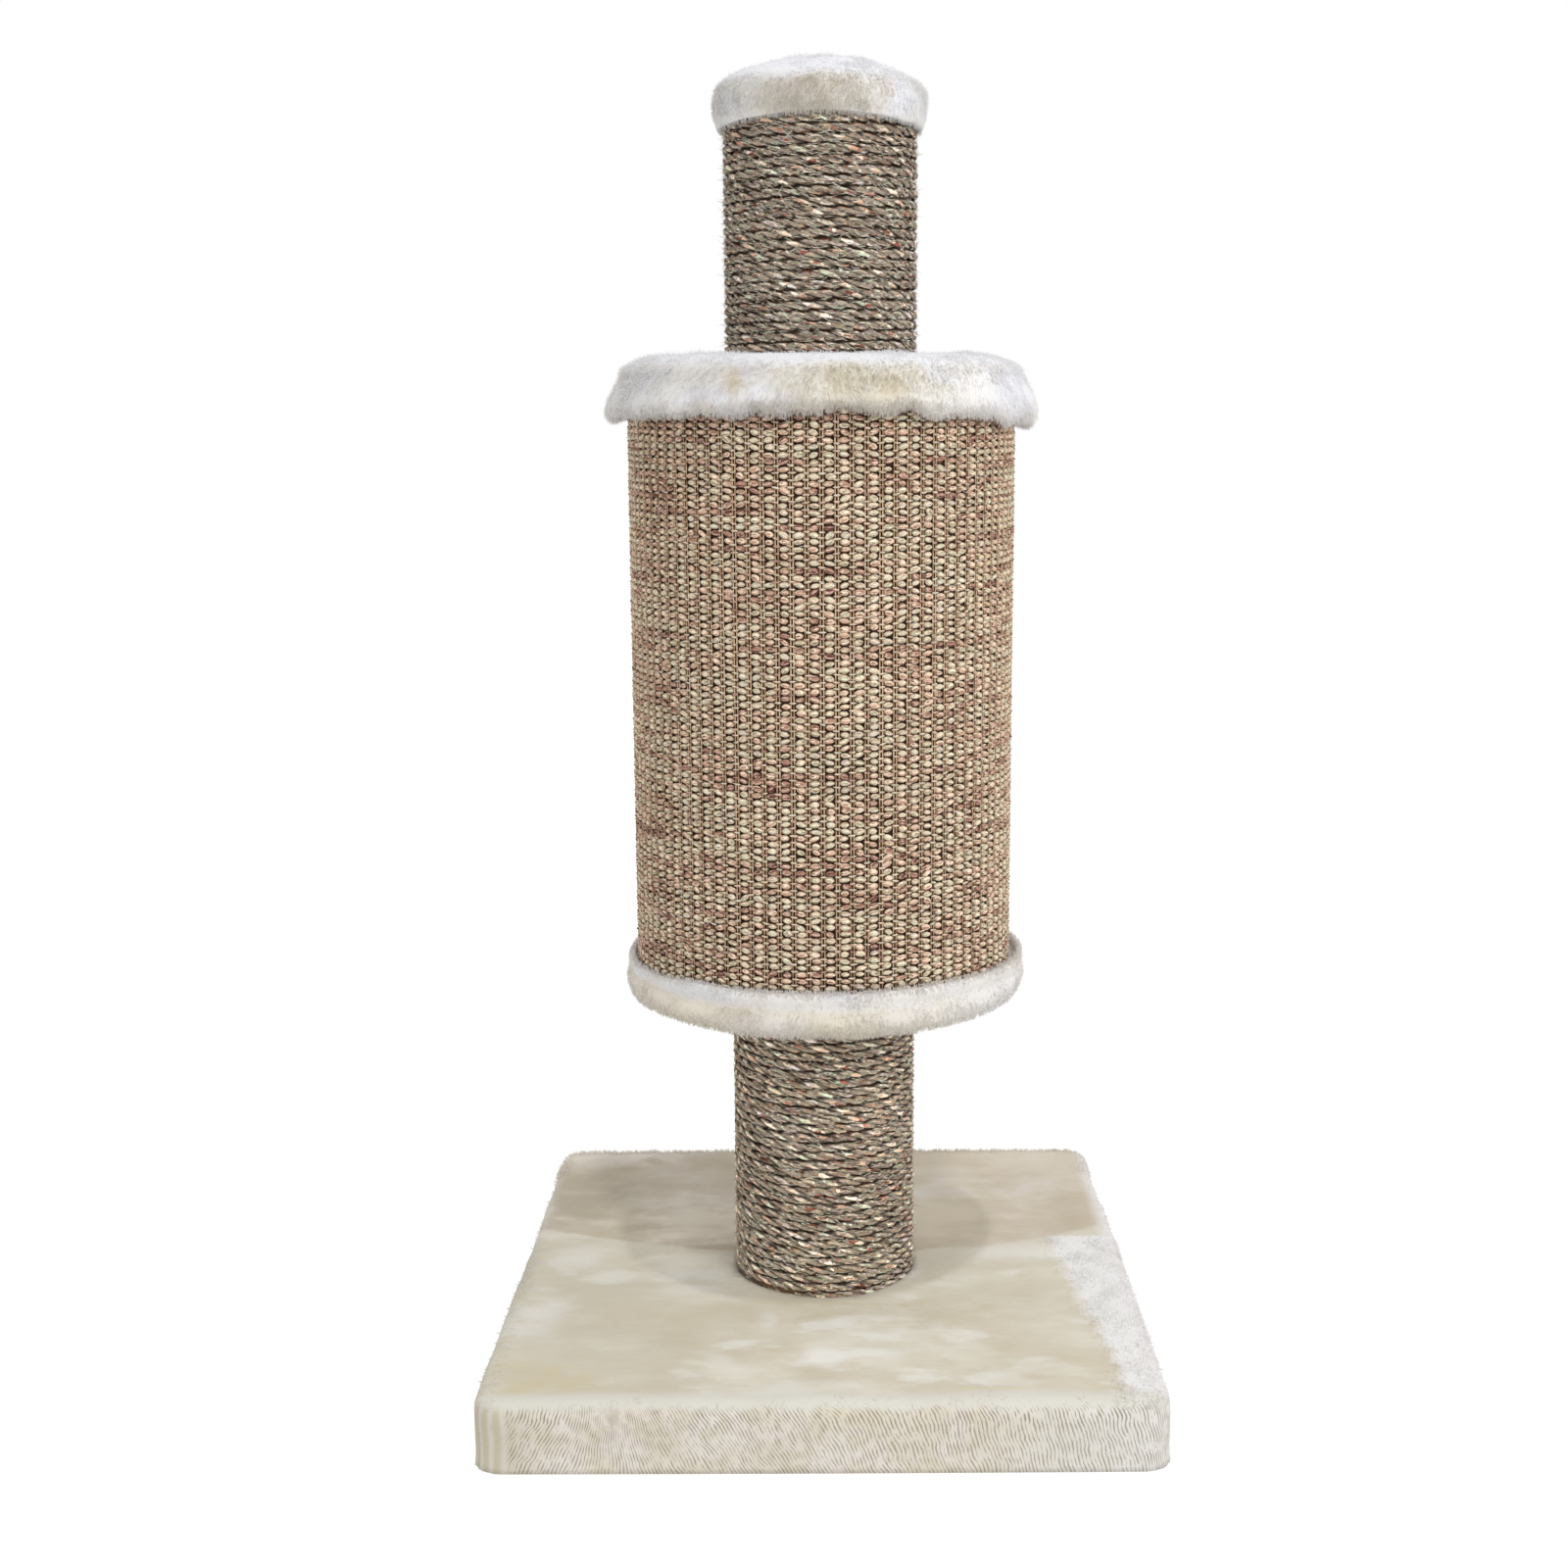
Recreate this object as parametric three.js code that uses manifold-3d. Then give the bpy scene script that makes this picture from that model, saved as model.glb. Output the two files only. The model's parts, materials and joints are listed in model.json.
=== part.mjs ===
// Cat scratching post: a heavy plush-covered base, a rope-wound lower post, a wide drum wrapped in
// woven sisal matting between two plush-covered platforms, a rope-wound upper post and a padded cap.
// Millimetres, +Z up. The origin is on the floor, on the common axis of the posts. The front is -Y.
import * as THREE from 'three';
import { mergeVertices } from 'three/addons/utils/BufferGeometryUtils.js';
import Module from 'manifold-3d';

const wasm = await Module();
wasm.setup();

// ---- driving dimensions ----

const fitGap = 0.3; // between pieces that touch
const roundSteps = 36; // facets round the large turned pieces
const smallSteps = 12; // facets round nuts, studs and screws
const padSteps = 20; // facets round pads and the washer

// base: two boards screwed together, a plush cover and four rubber pads
const baseSide = 500;
const baseCornerRadius = 32;
const baseBoardThickness = 22;
const basePlushSide = 4.6; // pile and backing outside the boards' edges
const basePlushTop = 9; // pile and backing over the boards
const basePlushRounding = 12; // rounding of the cover's upper edge
const baseHemWidth = 45; // plush turned in under the base
const hemThickness = 2.2;
const padDiameter = 40;
const padHeight = 3;
const padInset = 75; // pad centre in from the boards' edges
const boardScrewInset = 110; // screw centre in from the boards' edges
const boardScrewLength = 36;
const boardScrewDiameter = 5;
const boardScrewHeadDiameter = 10;
const boardScrewHeadHeight = 3;

// plush where something stands on it
const squashedPlush = 2.5;

// posts: a cardboard tube wound with sisal rope, a plywood plug in each end
const postTubeDiameter = 132.5;
const postTubeWall = 5;
const lowerPostLength = 250;
const upperPostLength = 190;
const plugThickness = 18;

// rope: one winding of each post, drawn with fewer and wider turns than the real rope has
const ropeThickness = 7.3;
const ropeTurns = 24;
const ropeSteps = 16; // stations round one turn
const ropeSides = 5;
const ropeTurnGap = 0.5; // between one turn and the next
const ropeEndMargin = 0.8; // from the winding to the end of the tube

// drum: a wide cardboard tube with an end disc in each end, wrapped in sisal matting
const drumTubeDiameter = 294;
const drumTubeWall = 6;
const drumLength = 450;
const drumDiscThickness = 18;
const matThickness = 4.6;
const matSeam = 0.8; // where the matting's edges meet at the back

// platforms: round boards cut to the size of the drum over its matting
const platformBoardThickness = 20;
const platformHemWidth = 38; // plush turned in under the lower board
const lowerPlushSide = 9; // plush outside the lower board's edge
const lowerLipHeight = 9.4; // plush standing up round the drum's foot
const lowerCreaseDepth = 1.2; // parting between the side and the lip
const upperPlushSide = 13.8; // plush outside the upper board's edge
const upperPlushTop = 11.4; // plush over the upper board
const upperShoulderWidth = 40; // rounded shoulder of the upper cover
const upperHemDrop = 15; // plush hanging past the drum's upper edge
const upperHemThickness = 9;

// cap: a small board with a foam pad under plush
const capBoardInset = 2; // board's edge in from the outside of the rope
const capBoardThickness = 15;
const capFoamHeight = 13;
const capFoamEdgeHeight = 5;
const capPlushSide = 10;
const capPlushTop = 9;
const capHemDrop = 11.5; // plush hanging past the upper post's end

// fasteners
const threadDiameter = 10;
const nutBarrelDiameter = 14;
const nutBarrelLength = 11;
const nutFlangeDiameter = 26;
const nutFlangeThickness = 1.6;
const studPastNut = 3; // thread showing past a nut
const washerDiameter = 40;
const washerThickness = 2.5;
const boltHeadAcrossFlats = 17;
const boltHeadHeight = 6.4;

// ---- heights, from the floor up ----

const baseUnderside = padHeight + fitGap;
const upperBoardBottom = baseUnderside + baseBoardThickness + fitGap;
const baseBoardsTop = upperBoardBottom + baseBoardThickness;
const baseSeat = baseBoardsTop + fitGap + squashedPlush;
const baseTop = baseBoardsTop + fitGap + basePlushTop;
const lowerPostBottom = baseSeat + fitGap;
const lowerPostTop = lowerPostBottom + lowerPostLength;
const lowerBoardBottom = lowerPostTop + fitGap;
const lowerBoardTop = lowerBoardBottom + platformBoardThickness;
const drumSeat = lowerBoardTop + fitGap + squashedPlush;
const drumBottom = drumSeat + fitGap;
const drumTop = drumBottom + drumLength;
const drumCeiling = drumTop + fitGap; // squashed plush under the upper board
const topBoardBottom = drumCeiling + squashedPlush + fitGap;
const topBoardTop = topBoardBottom + platformBoardThickness;
const topSeat = topBoardTop + fitGap + squashedPlush;
const upperPostBottom = topSeat + fitGap;
const upperPostTop = upperPostBottom + upperPostLength;
const capBoardBottom = upperPostTop + fitGap;
const capBoardTop = capBoardBottom + capBoardThickness;

// ---- radii shared by pieces that meet ----

const postTubeRadius = postTubeDiameter / 2;
const postBoreRadius = postTubeRadius - postTubeWall;
const ropeInnerRadius = (postTubeRadius + fitGap) / Math.cos(Math.PI / ropeSteps); // a polygon's corners
const postRadius = ropeInnerRadius + ropeThickness;
const drumTubeRadius = drumTubeDiameter / 2;
const drumBoreRadius = drumTubeRadius - drumTubeWall;
const matInnerRadius = (drumTubeRadius + fitGap) / Math.cos(Math.PI / roundSteps);
const drumRadius = matInnerRadius + matThickness;
const platformRadius = drumRadius;
const capBoardRadius = postRadius - capBoardInset;
const capRadius = capBoardRadius + capPlushSide;
const threadRadius = threadDiameter / 2;
const threadHole = threadRadius / Math.cos(Math.PI / smallSteps) + fitGap;
const nutBarrelRadius = nutBarrelDiameter / 2;
const nutHole = nutBarrelRadius / Math.cos(Math.PI / smallSteps) + fitGap;

// ---- finishes ----

function finish(color, roughness, metalness = 0) {
  return new THREE.MeshStandardMaterial({ color, roughness, metalness });
}

const plush = finish(0xe4e0d6, 0.95);
const rope = finish(0xa89c84, 0.9);
const matting = finish(0xb39a7e, 0.9);
const cardboard = finish(0xb08d62, 0.85);
const plywood = finish(0xc8a878, 0.8);
const chipboard = finish(0xb7966b, 0.85);
const foam = finish(0xeee6c8, 0.95);
const rubber = finish(0x2a2a2a, 0.8);
const steel = finish(0xb4b8bc, 0.4, 0.9);

// ---- shape helpers ----

// A solid of revolution: the profile's points are [radius, height], anticlockwise, and it closes
// on itself or starts and ends on the axis.
function turned(profile, steps = roundSteps) {
  const points = profile.map(([radius, height]) => new THREE.Vector2(radius, height));
  return new THREE.LatheGeometry(points, steps).rotateX(Math.PI / 2);
}

// Points along an elliptical arc, angles in degrees.
function arc(centreR, centreZ, radiusR, radiusZ, from, to, steps) {
  const points = [];
  for (let i = 0; i <= steps; i += 1) {
    const angle = THREE.MathUtils.degToRad(from + ((to - from) * i) / steps);
    points.push([centreR + radiusR * Math.cos(angle), centreZ + radiusZ * Math.sin(angle)]);
  }
  return points;
}

function circle(radius, steps) {
  return arc(0, 0, radius, radius, 0, 360, steps).slice(0, steps)
    .map(([x, y]) => new THREE.Vector2(x, y));
}

function drilledDisc(radius, holeRadius, thickness) {
  const outline = new THREE.Shape(circle(radius, roundSteps));
  outline.holes.push(new THREE.Path(circle(holeRadius, smallSteps)));
  return new THREE.ExtrudeGeometry(outline, { depth: thickness, bevelEnabled: false });
}

function rod(radius, bottom, top, steps = smallSteps) {
  return turned([[0, bottom], [radius, bottom], [radius, top], [0, top]], steps);
}

function tube(outerRadius, innerRadius, length) {
  return turned([
    [innerRadius, 0],
    [outerRadius, 0],
    [outerRadius, length],
    [innerRadius, length],
    [innerRadius, 0],
  ]);
}

// A square slab with rounded corners, lofted through [inset, height] rings from the bottom up.
function roundedSlab(side, cornerRadius, rings, cornerSteps = 5) {
  const centre = side / 2 - cornerRadius;
  const positions = [];
  const indices = [];
  for (const [inset, height] of rings) {
    for (let corner = 0; corner < 4; corner += 1) {
      const middle = 45 + 90 * corner;
      const x = centre * Math.sign(Math.cos(THREE.MathUtils.degToRad(middle)));
      const y = centre * Math.sign(Math.sin(THREE.MathUtils.degToRad(middle)));
      const radius = cornerRadius - inset;
      for (const [px, py] of arc(x, y, radius, radius, middle - 45, middle + 45, cornerSteps)) {
        positions.push(px, py, height);
      }
    }
  }
  const ringCount = 4 * (cornerSteps + 1);
  for (let ring = 0; ring + 1 < rings.length; ring += 1) {
    for (let i = 0; i < ringCount; i += 1) {
      const a = ring * ringCount + i;
      const b = ring * ringCount + ((i + 1) % ringCount);
      indices.push(a, b, b + ringCount, a, b + ringCount, a + ringCount);
    }
  }
  const top = (rings.length - 1) * ringCount;
  for (let i = 1; i + 1 < ringCount; i += 1) {
    indices.push(0, i + 1, i, top, top + i, top + i + 1);
  }
  const slab = new THREE.BufferGeometry();
  slab.setAttribute('position', new THREE.Float32BufferAttribute(positions, 3));
  slab.setIndex(indices);
  return slab;
}

// ---- joining and cutting ----

function toSolid(geometry) {
  const bare = new THREE.BufferGeometry();
  bare.setAttribute('position', geometry.attributes.position.clone());
  if (geometry.index) bare.setIndex(geometry.index.clone());
  const merged = mergeVertices(bare, 1e-4);
  const triangles = [];
  for (let i = 0; i < merged.index.count; i += 3) {
    const [a, b, c] = [0, 1, 2].map((k) => merged.index.getX(i + k));
    if (a !== b && b !== c && c !== a) triangles.push(a, b, c);
  }
  return new wasm.Manifold(new wasm.Mesh({
    numProp: 3,
    vertProperties: Float32Array.from(merged.attributes.position.array),
    triVerts: Uint32Array.from(triangles),
  }));
}

function fromSolid(solid) {
  const mesh = solid.getMesh();
  const geometry = new THREE.BufferGeometry();
  geometry.setAttribute('position', new THREE.Float32BufferAttribute(mesh.vertProperties, 3));
  geometry.setIndex(Array.from(mesh.triVerts));
  return geometry;
}

function cut(geometry, tools) {
  return fromSolid(tools.reduce((solid, tool) => solid.subtract(toSolid(tool)), toSolid(geometry)));
}

function joined(first, second) {
  return fromSolid(toSolid(first).add(toSolid(second)));
}

// ---- assembly helpers ----

const scratchingPost = new THREE.Group();

function addPiece(name, geometry, material, x = 0, y = 0, z = 0) {
  const piece = new THREE.Mesh(geometry, material);
  piece.name = name;
  piece.position.set(x, y, z);
  scratchingPost.add(piece);
  return piece;
}

// The four places that lie the same distance in from two edges of the base.
function basePlaces(inset) {
  const reach = baseSide / 2 - inset;
  return [[-reach, -reach], [reach, -reach], [reach, reach], [-reach, reach]];
}

// A tee nut: its flange stands on z = 0 and its barrel reaches down from there.
function teeNut() {
  return turned([
    [threadHole, -nutBarrelLength],
    [nutBarrelRadius, -nutBarrelLength],
    [nutBarrelRadius, 0],
    [nutFlangeDiameter / 2, 0],
    [nutFlangeDiameter / 2, nutFlangeThickness],
    [threadHole, nutFlangeThickness],
    [threadHole, -nutBarrelLength],
  ], smallSteps);
}

function addStud(name, bottom, top) {
  const chamfer = 1;
  const stud = turned([
    [0, bottom],
    [threadRadius - chamfer, bottom],
    [threadRadius, bottom + chamfer],
    [threadRadius, top - chamfer],
    [threadRadius - chamfer, top],
    [0, top],
  ], smallSteps);
  addPiece(name, stud, steel);
}

// Two round plates, one in each end of a tube, each with a tee nut on its inner face.
function addEndPlates(prefix, plate, bottom, top, radius, thickness) {
  const plateSolid = drilledDisc(radius, nutHole, thickness);
  addPiece(`${prefix}_bottom_${plate}`, plateSolid, plywood, 0, 0, bottom);
  addPiece(`${prefix}_top_${plate}`, plateSolid, plywood, 0, 0, top - thickness);
  addPiece(`${prefix}_bottom_nut`, teeNut(), steel, 0, 0, bottom + thickness + fitGap);
  const topNut = addPiece(`${prefix}_top_nut`, teeNut(), steel, 0, 0, top - thickness - fitGap);
  topNut.rotation.x = Math.PI;
}

// How far a stud or bolt reaches past an end plate's outer face.
const plugReach = plugThickness + fitGap + nutFlangeThickness + studPastNut;
const drumDiscReach = drumDiscThickness + fitGap + nutFlangeThickness + studPastNut;

// ---- rope winding ----

// One unbroken rope wound up a post. Both ends run straight on for one rope thickness.
function ropeWinding(name, length) {
  const sideAngle = (2 * Math.PI) / ropeSides;
  const rise = (length - 2 * ropeEndMargin + ropeTurnGap) / (ropeTurns + 1);
  const radialReach = ropeThickness / (1 + Math.cos(sideAngle / 2));
  const axialReach = (rise - ropeTurnGap) / (2 * Math.sin(sideAngle));
  const centreRadius = postRadius - radialReach;
  const lowest = ropeEndMargin + (rise - ropeTurnGap) / 2;
  const turnLength = Math.hypot(2 * Math.PI * centreRadius, rise);
  const stations = [];
  const lastStep = ropeTurns * ropeSteps;
  for (let step = 0; step <= lastStep; step += 1) {
    stations.push([(2 * Math.PI * step) / ropeSteps, lowest + (rise * step) / ropeSteps, 0]);
  }
  stations.unshift([stations[0][0], stations[0][1], -ropeThickness]);
  stations.push([stations.at(-1)[0], stations.at(-1)[1], ropeThickness]);

  const positions = [];
  for (const [angle, height, run] of stations) {
    const along = (run * 2 * Math.PI * centreRadius) / turnLength;
    for (let side = 0; side < ropeSides; side += 1) {
      const radius = centreRadius + radialReach * Math.cos(sideAngle * side);
      positions.push(
        radius * Math.cos(angle) - along * Math.sin(angle),
        radius * Math.sin(angle) + along * Math.cos(angle),
        height + (run * rise) / turnLength + axialReach * Math.sin(sideAngle * side),
      );
    }
  }
  const indices = [];
  for (let station = 0; station + 1 < stations.length; station += 1) {
    for (let side = 0; side < ropeSides; side += 1) {
      const a = station * ropeSides + side;
      const b = station * ropeSides + ((side + 1) % ropeSides);
      indices.push(a, a + ropeSides, b, b, a + ropeSides, b + ropeSides);
    }
  }
  const last = (stations.length - 1) * ropeSides;
  for (let side = 1; side + 1 < ropeSides; side += 1) {
    indices.push(0, side, side + 1, last, last + side + 1, last + side);
  }
  const winding = new THREE.BufferGeometry();
  winding.setAttribute('position', new THREE.Float32BufferAttribute(positions, 3));
  winding.setIndex(indices);
  reportTurnGap(name, positions, stations.length);
  return winding;
}

// The least distance from a point of the rope to a point at least half a turn further on.
function reportTurnGap(name, positions, stationCount) {
  const half = ropeSteps / 2;
  let least = Infinity;
  const point = (index) => positions.slice(3 * index, 3 * index + 3);
  for (let station = 0; station < stationCount; station += 1) {
    const end = Math.min(stationCount, station + 3 * half + 1);
    for (let other = station + half; other < end; other += 1) {
      for (let pair = 0; pair < ropeSides * ropeSides; pair += 1) {
        const p = point(station * ropeSides + (pair % ropeSides));
        const q = point(other * ropeSides + Math.floor(pair / ropeSides));
        least = Math.min(least, Math.hypot(p[0] - q[0], p[1] - q[1], p[2] - q[2]));
      }
    }
  }
  console.log(`${name}: least gap between turns ${least.toFixed(2)} mm`);
}

function addPost(prefix, bottom, length) {
  addPiece(`${prefix}_tube`, tube(postTubeRadius, postBoreRadius, length), cardboard, 0, 0, bottom);
  addEndPlates(prefix, 'plug', bottom, bottom + length, postBoreRadius - fitGap, plugThickness);
  addPiece(`${prefix}_rope`, ropeWinding(`${prefix}_rope`, length), rope, 0, 0, bottom);
}

// ---- base ----

const boardScrewRadius = boardScrewDiameter / 2;
const boardScrewHeadRadius = boardScrewHeadDiameter / 2;
const boardScrewBottom = baseUnderside + fitGap;
const boardScrewTop = boardScrewBottom + boardScrewLength;
const washerPocketRadius = washerDiameter / 2 + 2 * fitGap;
const washerBottom = baseUnderside + boltHeadHeight + 2 * fitGap;
const washerTop = washerBottom + washerThickness;

// A countersunk screw, or with a clearance the hole for it, sunk past the board's underside.
function boardScrew(clearance = 0, sink = 0) {
  const taper = 6;
  return turned([
    [0, boardScrewBottom - sink],
    [boardScrewHeadRadius + clearance, boardScrewBottom - sink],
    [boardScrewHeadRadius + clearance, boardScrewBottom],
    [boardScrewRadius + clearance, boardScrewBottom + boardScrewHeadHeight + clearance],
    [boardScrewRadius + clearance, boardScrewTop - taper],
    [0, boardScrewTop + 2 * clearance],
  ], smallSteps);
}

function addBaseBoards() {
  const board = (bottom) => roundedSlab(baseSide, baseCornerRadius, [
    [0, bottom],
    [0, bottom + baseBoardThickness],
  ]);
  const screwHoles = basePlaces(boardScrewInset)
    .map(([x, y]) => boardScrew(fitGap, 1).translate(x, y, 0));
  const boltHole = rod(threadHole, baseUnderside - 1, baseBoardsTop + 1);
  const washerPocket = rod(washerPocketRadius, baseUnderside - 1, washerTop + fitGap, padSteps);
  const lowerTools = [boltHole, washerPocket, ...screwHoles];
  addPiece('base_lower_board', cut(board(baseUnderside), lowerTools), chipboard);
  addPiece('base_upper_board', cut(board(upperBoardBottom), [boltHole, ...screwHoles]), chipboard);
  basePlaces(boardScrewInset).forEach(([x, y], i) => {
    addPiece(`base_board_screw_${i + 1}`, boardScrew(), steel, x, y);
  });
}

function addBaseCover() {
  const coverBottom = padHeight - hemThickness;
  const coverSide = baseSide + 2 * basePlushSide;
  const coverCorner = baseCornerRadius + basePlushSide;
  const lowerEdge = 2.5;
  const outer = roundedSlab(coverSide, coverCorner, [
    [lowerEdge, coverBottom],
    [0, coverBottom + lowerEdge],
    ...arc(0, baseTop - basePlushRounding, -basePlushRounding, basePlushRounding, 0, 90, 5)
      .map(([inset, height]) => [inset + basePlushRounding, height]),
  ]);
  const boards = roundedSlab(baseSide + 2 * fitGap, baseCornerRadius + fitGap, [
    [0, padHeight],
    [0, baseBoardsTop + fitGap],
  ]);
  const underside = roundedSlab(baseSide - 2 * baseHemWidth, baseCornerRadius, [
    [0, coverBottom - 1],
    [0, baseBoardsTop],
  ]);
  const postSeat = rod(postRadius + 2 * fitGap, baseSeat, baseTop + 1, roundSteps);
  const boltHole = rod(threadHole, baseBoardsTop, baseTop);
  addPiece('base_plush_cover', cut(outer, [boards, underside, postSeat, boltHole]), plush);
}

function addBasePads() {
  const edge = 0.8;
  const radius = padDiameter / 2;
  const profile = [[0, 0], [radius - edge, 0], [radius, edge], [radius, padHeight], [0, padHeight]];
  basePlaces(padInset).forEach(([x, y], i) => {
    addPiece(`base_pad_${i + 1}`, turned(profile, padSteps), rubber, x, y);
  });
}

// The bolt that holds the lower post down, with its head let in under a broad washer.
function addBaseBolt() {
  const washer = turned([
    [threadHole, washerBottom],
    [washerDiameter / 2, washerBottom],
    [washerDiameter / 2, washerTop],
    [threadHole, washerTop],
    [threadHole, washerBottom],
  ], padSteps);
  addPiece('base_bolt_washer', washer, steel);
  const headTop = washerBottom - fitGap;
  const headRadius = boltHeadAcrossFlats / 2 / Math.cos(Math.PI / 6);
  const head = rod(headRadius, headTop - boltHeadHeight, headTop, 6);
  const shank = rod(threadRadius, headTop - boltHeadHeight / 2, lowerPostBottom + plugReach);
  addPiece('base_bolt', joined(head, shank), steel);
}

// ---- platforms ----

function addLowerPlatform() {
  const board = drilledDisc(platformRadius, threadHole, platformBoardThickness);
  addPiece('lower_platform_board', board, plywood, 0, 0, lowerBoardBottom);
  const bottom = lowerBoardBottom - fitGap - hemThickness;
  const outer = platformRadius + lowerPlushSide;
  const hemInner = platformRadius - platformHemWidth;
  const lipInner = drumRadius + 2 * fitGap;
  const crease = lowerBoardTop;
  const lipTop = drumBottom + lowerLipHeight;
  const rounding = 10;
  const creaseHalf = 2.5;
  const lipFoot = crease + creaseHalf;
  const lipEdge = 2;
  addPiece('lower_platform_cover', turned([
    [hemInner, bottom],
    ...arc(outer - rounding, bottom + rounding, rounding, rounding, -90, 0, 4),
    [outer, crease - creaseHalf],
    [outer - lowerCreaseDepth, crease],
    ...arc(lipInner + lipEdge, lipFoot, outer - lipInner - lipEdge, lipTop - lipFoot, 0, 90, 4),
    [lipInner, lipTop - lipEdge],
    [lipInner, drumSeat],
    [threadHole, drumSeat],
    [threadHole, lowerBoardTop + fitGap],
    [platformRadius + fitGap, lowerBoardTop + fitGap],
    [platformRadius + fitGap, lowerBoardBottom - fitGap],
    [hemInner, lowerBoardBottom - fitGap],
    [hemInner, bottom],
  ]), plush);
}

function addUpperPlatform() {
  const board = drilledDisc(platformRadius, threadHole, platformBoardThickness);
  addPiece('upper_platform_board', board, plywood, 0, 0, topBoardBottom);
  const top = topBoardTop + fitGap + upperPlushTop;
  const outer = platformRadius + upperPlushSide;
  const hemBottom = drumTop - upperHemDrop;
  const hemInner = drumRadius + 2 * fitGap;
  const hemMiddle = hemInner + upperHemThickness / 2;
  const widest = hemBottom + upperHemThickness;
  const seatRadius = postRadius + 2 * fitGap;
  addPiece('upper_platform_cover', turned([
    [hemInner, hemBottom + 2],
    ...arc(hemMiddle, widest, outer - hemMiddle, widest - hemBottom, -90, 0, 4),
    ...arc(outer - upperShoulderWidth, widest, upperShoulderWidth, top - widest, 0, 90, 7).slice(1),
    [seatRadius, top],
    [seatRadius, topSeat],
    [threadHole, topSeat],
    [threadHole, topBoardTop + fitGap],
    [platformRadius + fitGap, topBoardTop + fitGap],
    [platformRadius + fitGap, topBoardBottom - fitGap],
    [platformRadius - platformHemWidth, topBoardBottom - fitGap],
    [platformRadius - platformHemWidth, drumCeiling],
    [hemInner, drumCeiling],
    [hemInner, hemBottom + 2],
  ]), plush);
}

// ---- drum ----

function addDrum() {
  const wall = tube(drumTubeRadius, drumBoreRadius, drumLength);
  addPiece('drum_tube', wall, cardboard, 0, 0, drumBottom);
  addEndPlates('drum', 'disc', drumBottom, drumTop, drumBoreRadius - fitGap, drumDiscThickness);
  const halfSeam = THREE.MathUtils.radToDeg(matSeam / 2 / drumRadius);
  const start = 90 + halfSeam;
  const end = 450 - halfSeam;
  const outline = [
    ...arc(0, 0, drumRadius, drumRadius, start, end, roundSteps),
    ...arc(0, 0, matInnerRadius, matInnerRadius, end, start, roundSteps),
  ].map(([x, y]) => new THREE.Vector2(x, y));
  const sleeve = { depth: drumLength, bevelEnabled: false };
  const mat = new THREE.ExtrudeGeometry(new THREE.Shape(outline), sleeve);
  addPiece('drum_sisal_mat', mat, matting, 0, 0, drumBottom);
}

// ---- cap ----

// The crowned outline over the cap's board, from its edge up to the axis.
function capCrown(edgeRadius, edgeHeight, crownHeight, steps) {
  const crown = arc(0, edgeHeight, edgeRadius, crownHeight - edgeHeight, 0, 90, steps);
  crown[steps][0] = 0;
  return crown;
}

function addCap() {
  const nutSeat = capBoardTop - nutFlangeThickness;
  addPiece('cap_nut', teeNut(), steel, 0, 0, nutSeat);
  const pocketRadius = nutFlangeDiameter / 2 + fitGap;
  const nutPocket = rod(pocketRadius, nutSeat - fitGap, capBoardTop + 1);
  const board = drilledDisc(capBoardRadius, nutHole, capBoardThickness);
  addPiece('cap_board', cut(board.translate(0, 0, capBoardBottom), [nutPocket]), plywood);

  const foamBottom = capBoardTop + fitGap;
  const foamEdge = foamBottom + capFoamEdgeHeight;
  const foamTop = foamBottom + capFoamHeight;
  const studPocket = rod(threadHole + fitGap, foamBottom - 1, capBoardTop + studPastNut + fitGap);
  const foamPad = turned([
    [0, foamBottom],
    [capBoardRadius, foamBottom],
    ...capCrown(capBoardRadius, foamEdge, foamTop, 4),
  ]);
  addPiece('cap_foam_pad', cut(foamPad, [studPocket]), foam);

  const hemBottom = upperPostTop - capHemDrop;
  const hemInner = postRadius + 2 * fitGap;
  const hemEdge = 3;
  const boardWall = capBoardRadius + fitGap;
  addPiece('cap_plush_cover', turned([
    ...capCrown(boardWall, foamEdge, foamTop + fitGap, 4).reverse(),
    [boardWall, capBoardBottom - fitGap],
    [hemInner, capBoardBottom - fitGap],
    [hemInner, hemBottom + 1],
    [hemInner + hemEdge, hemBottom],
    [capRadius - 1, hemBottom + hemEdge],
    [capRadius, capBoardBottom + capBoardThickness / 2],
    ...capCrown(capRadius, capBoardTop - 2, foamTop + fitGap + capPlushTop, 7),
  ]), plush);
}

addBaseBoards();
addBaseCover();
addBasePads();
addBaseBolt();
addPost('lower_post', lowerPostBottom, lowerPostLength);
addLowerPlatform();
addStud('lower_stud', lowerPostTop - plugReach, drumBottom + drumDiscReach);
addDrum();
addUpperPlatform();
addStud('upper_stud', drumTop - drumDiscReach, upperPostBottom + plugReach);
addPost('upper_post', upperPostBottom, upperPostLength);
addCap();
addStud('cap_stud', upperPostTop - plugReach, capBoardTop + studPastNut);

export default scratchingPost;
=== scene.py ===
import json
import math

import bpy
import numpy as np
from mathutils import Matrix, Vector, kdtree, noise


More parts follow.
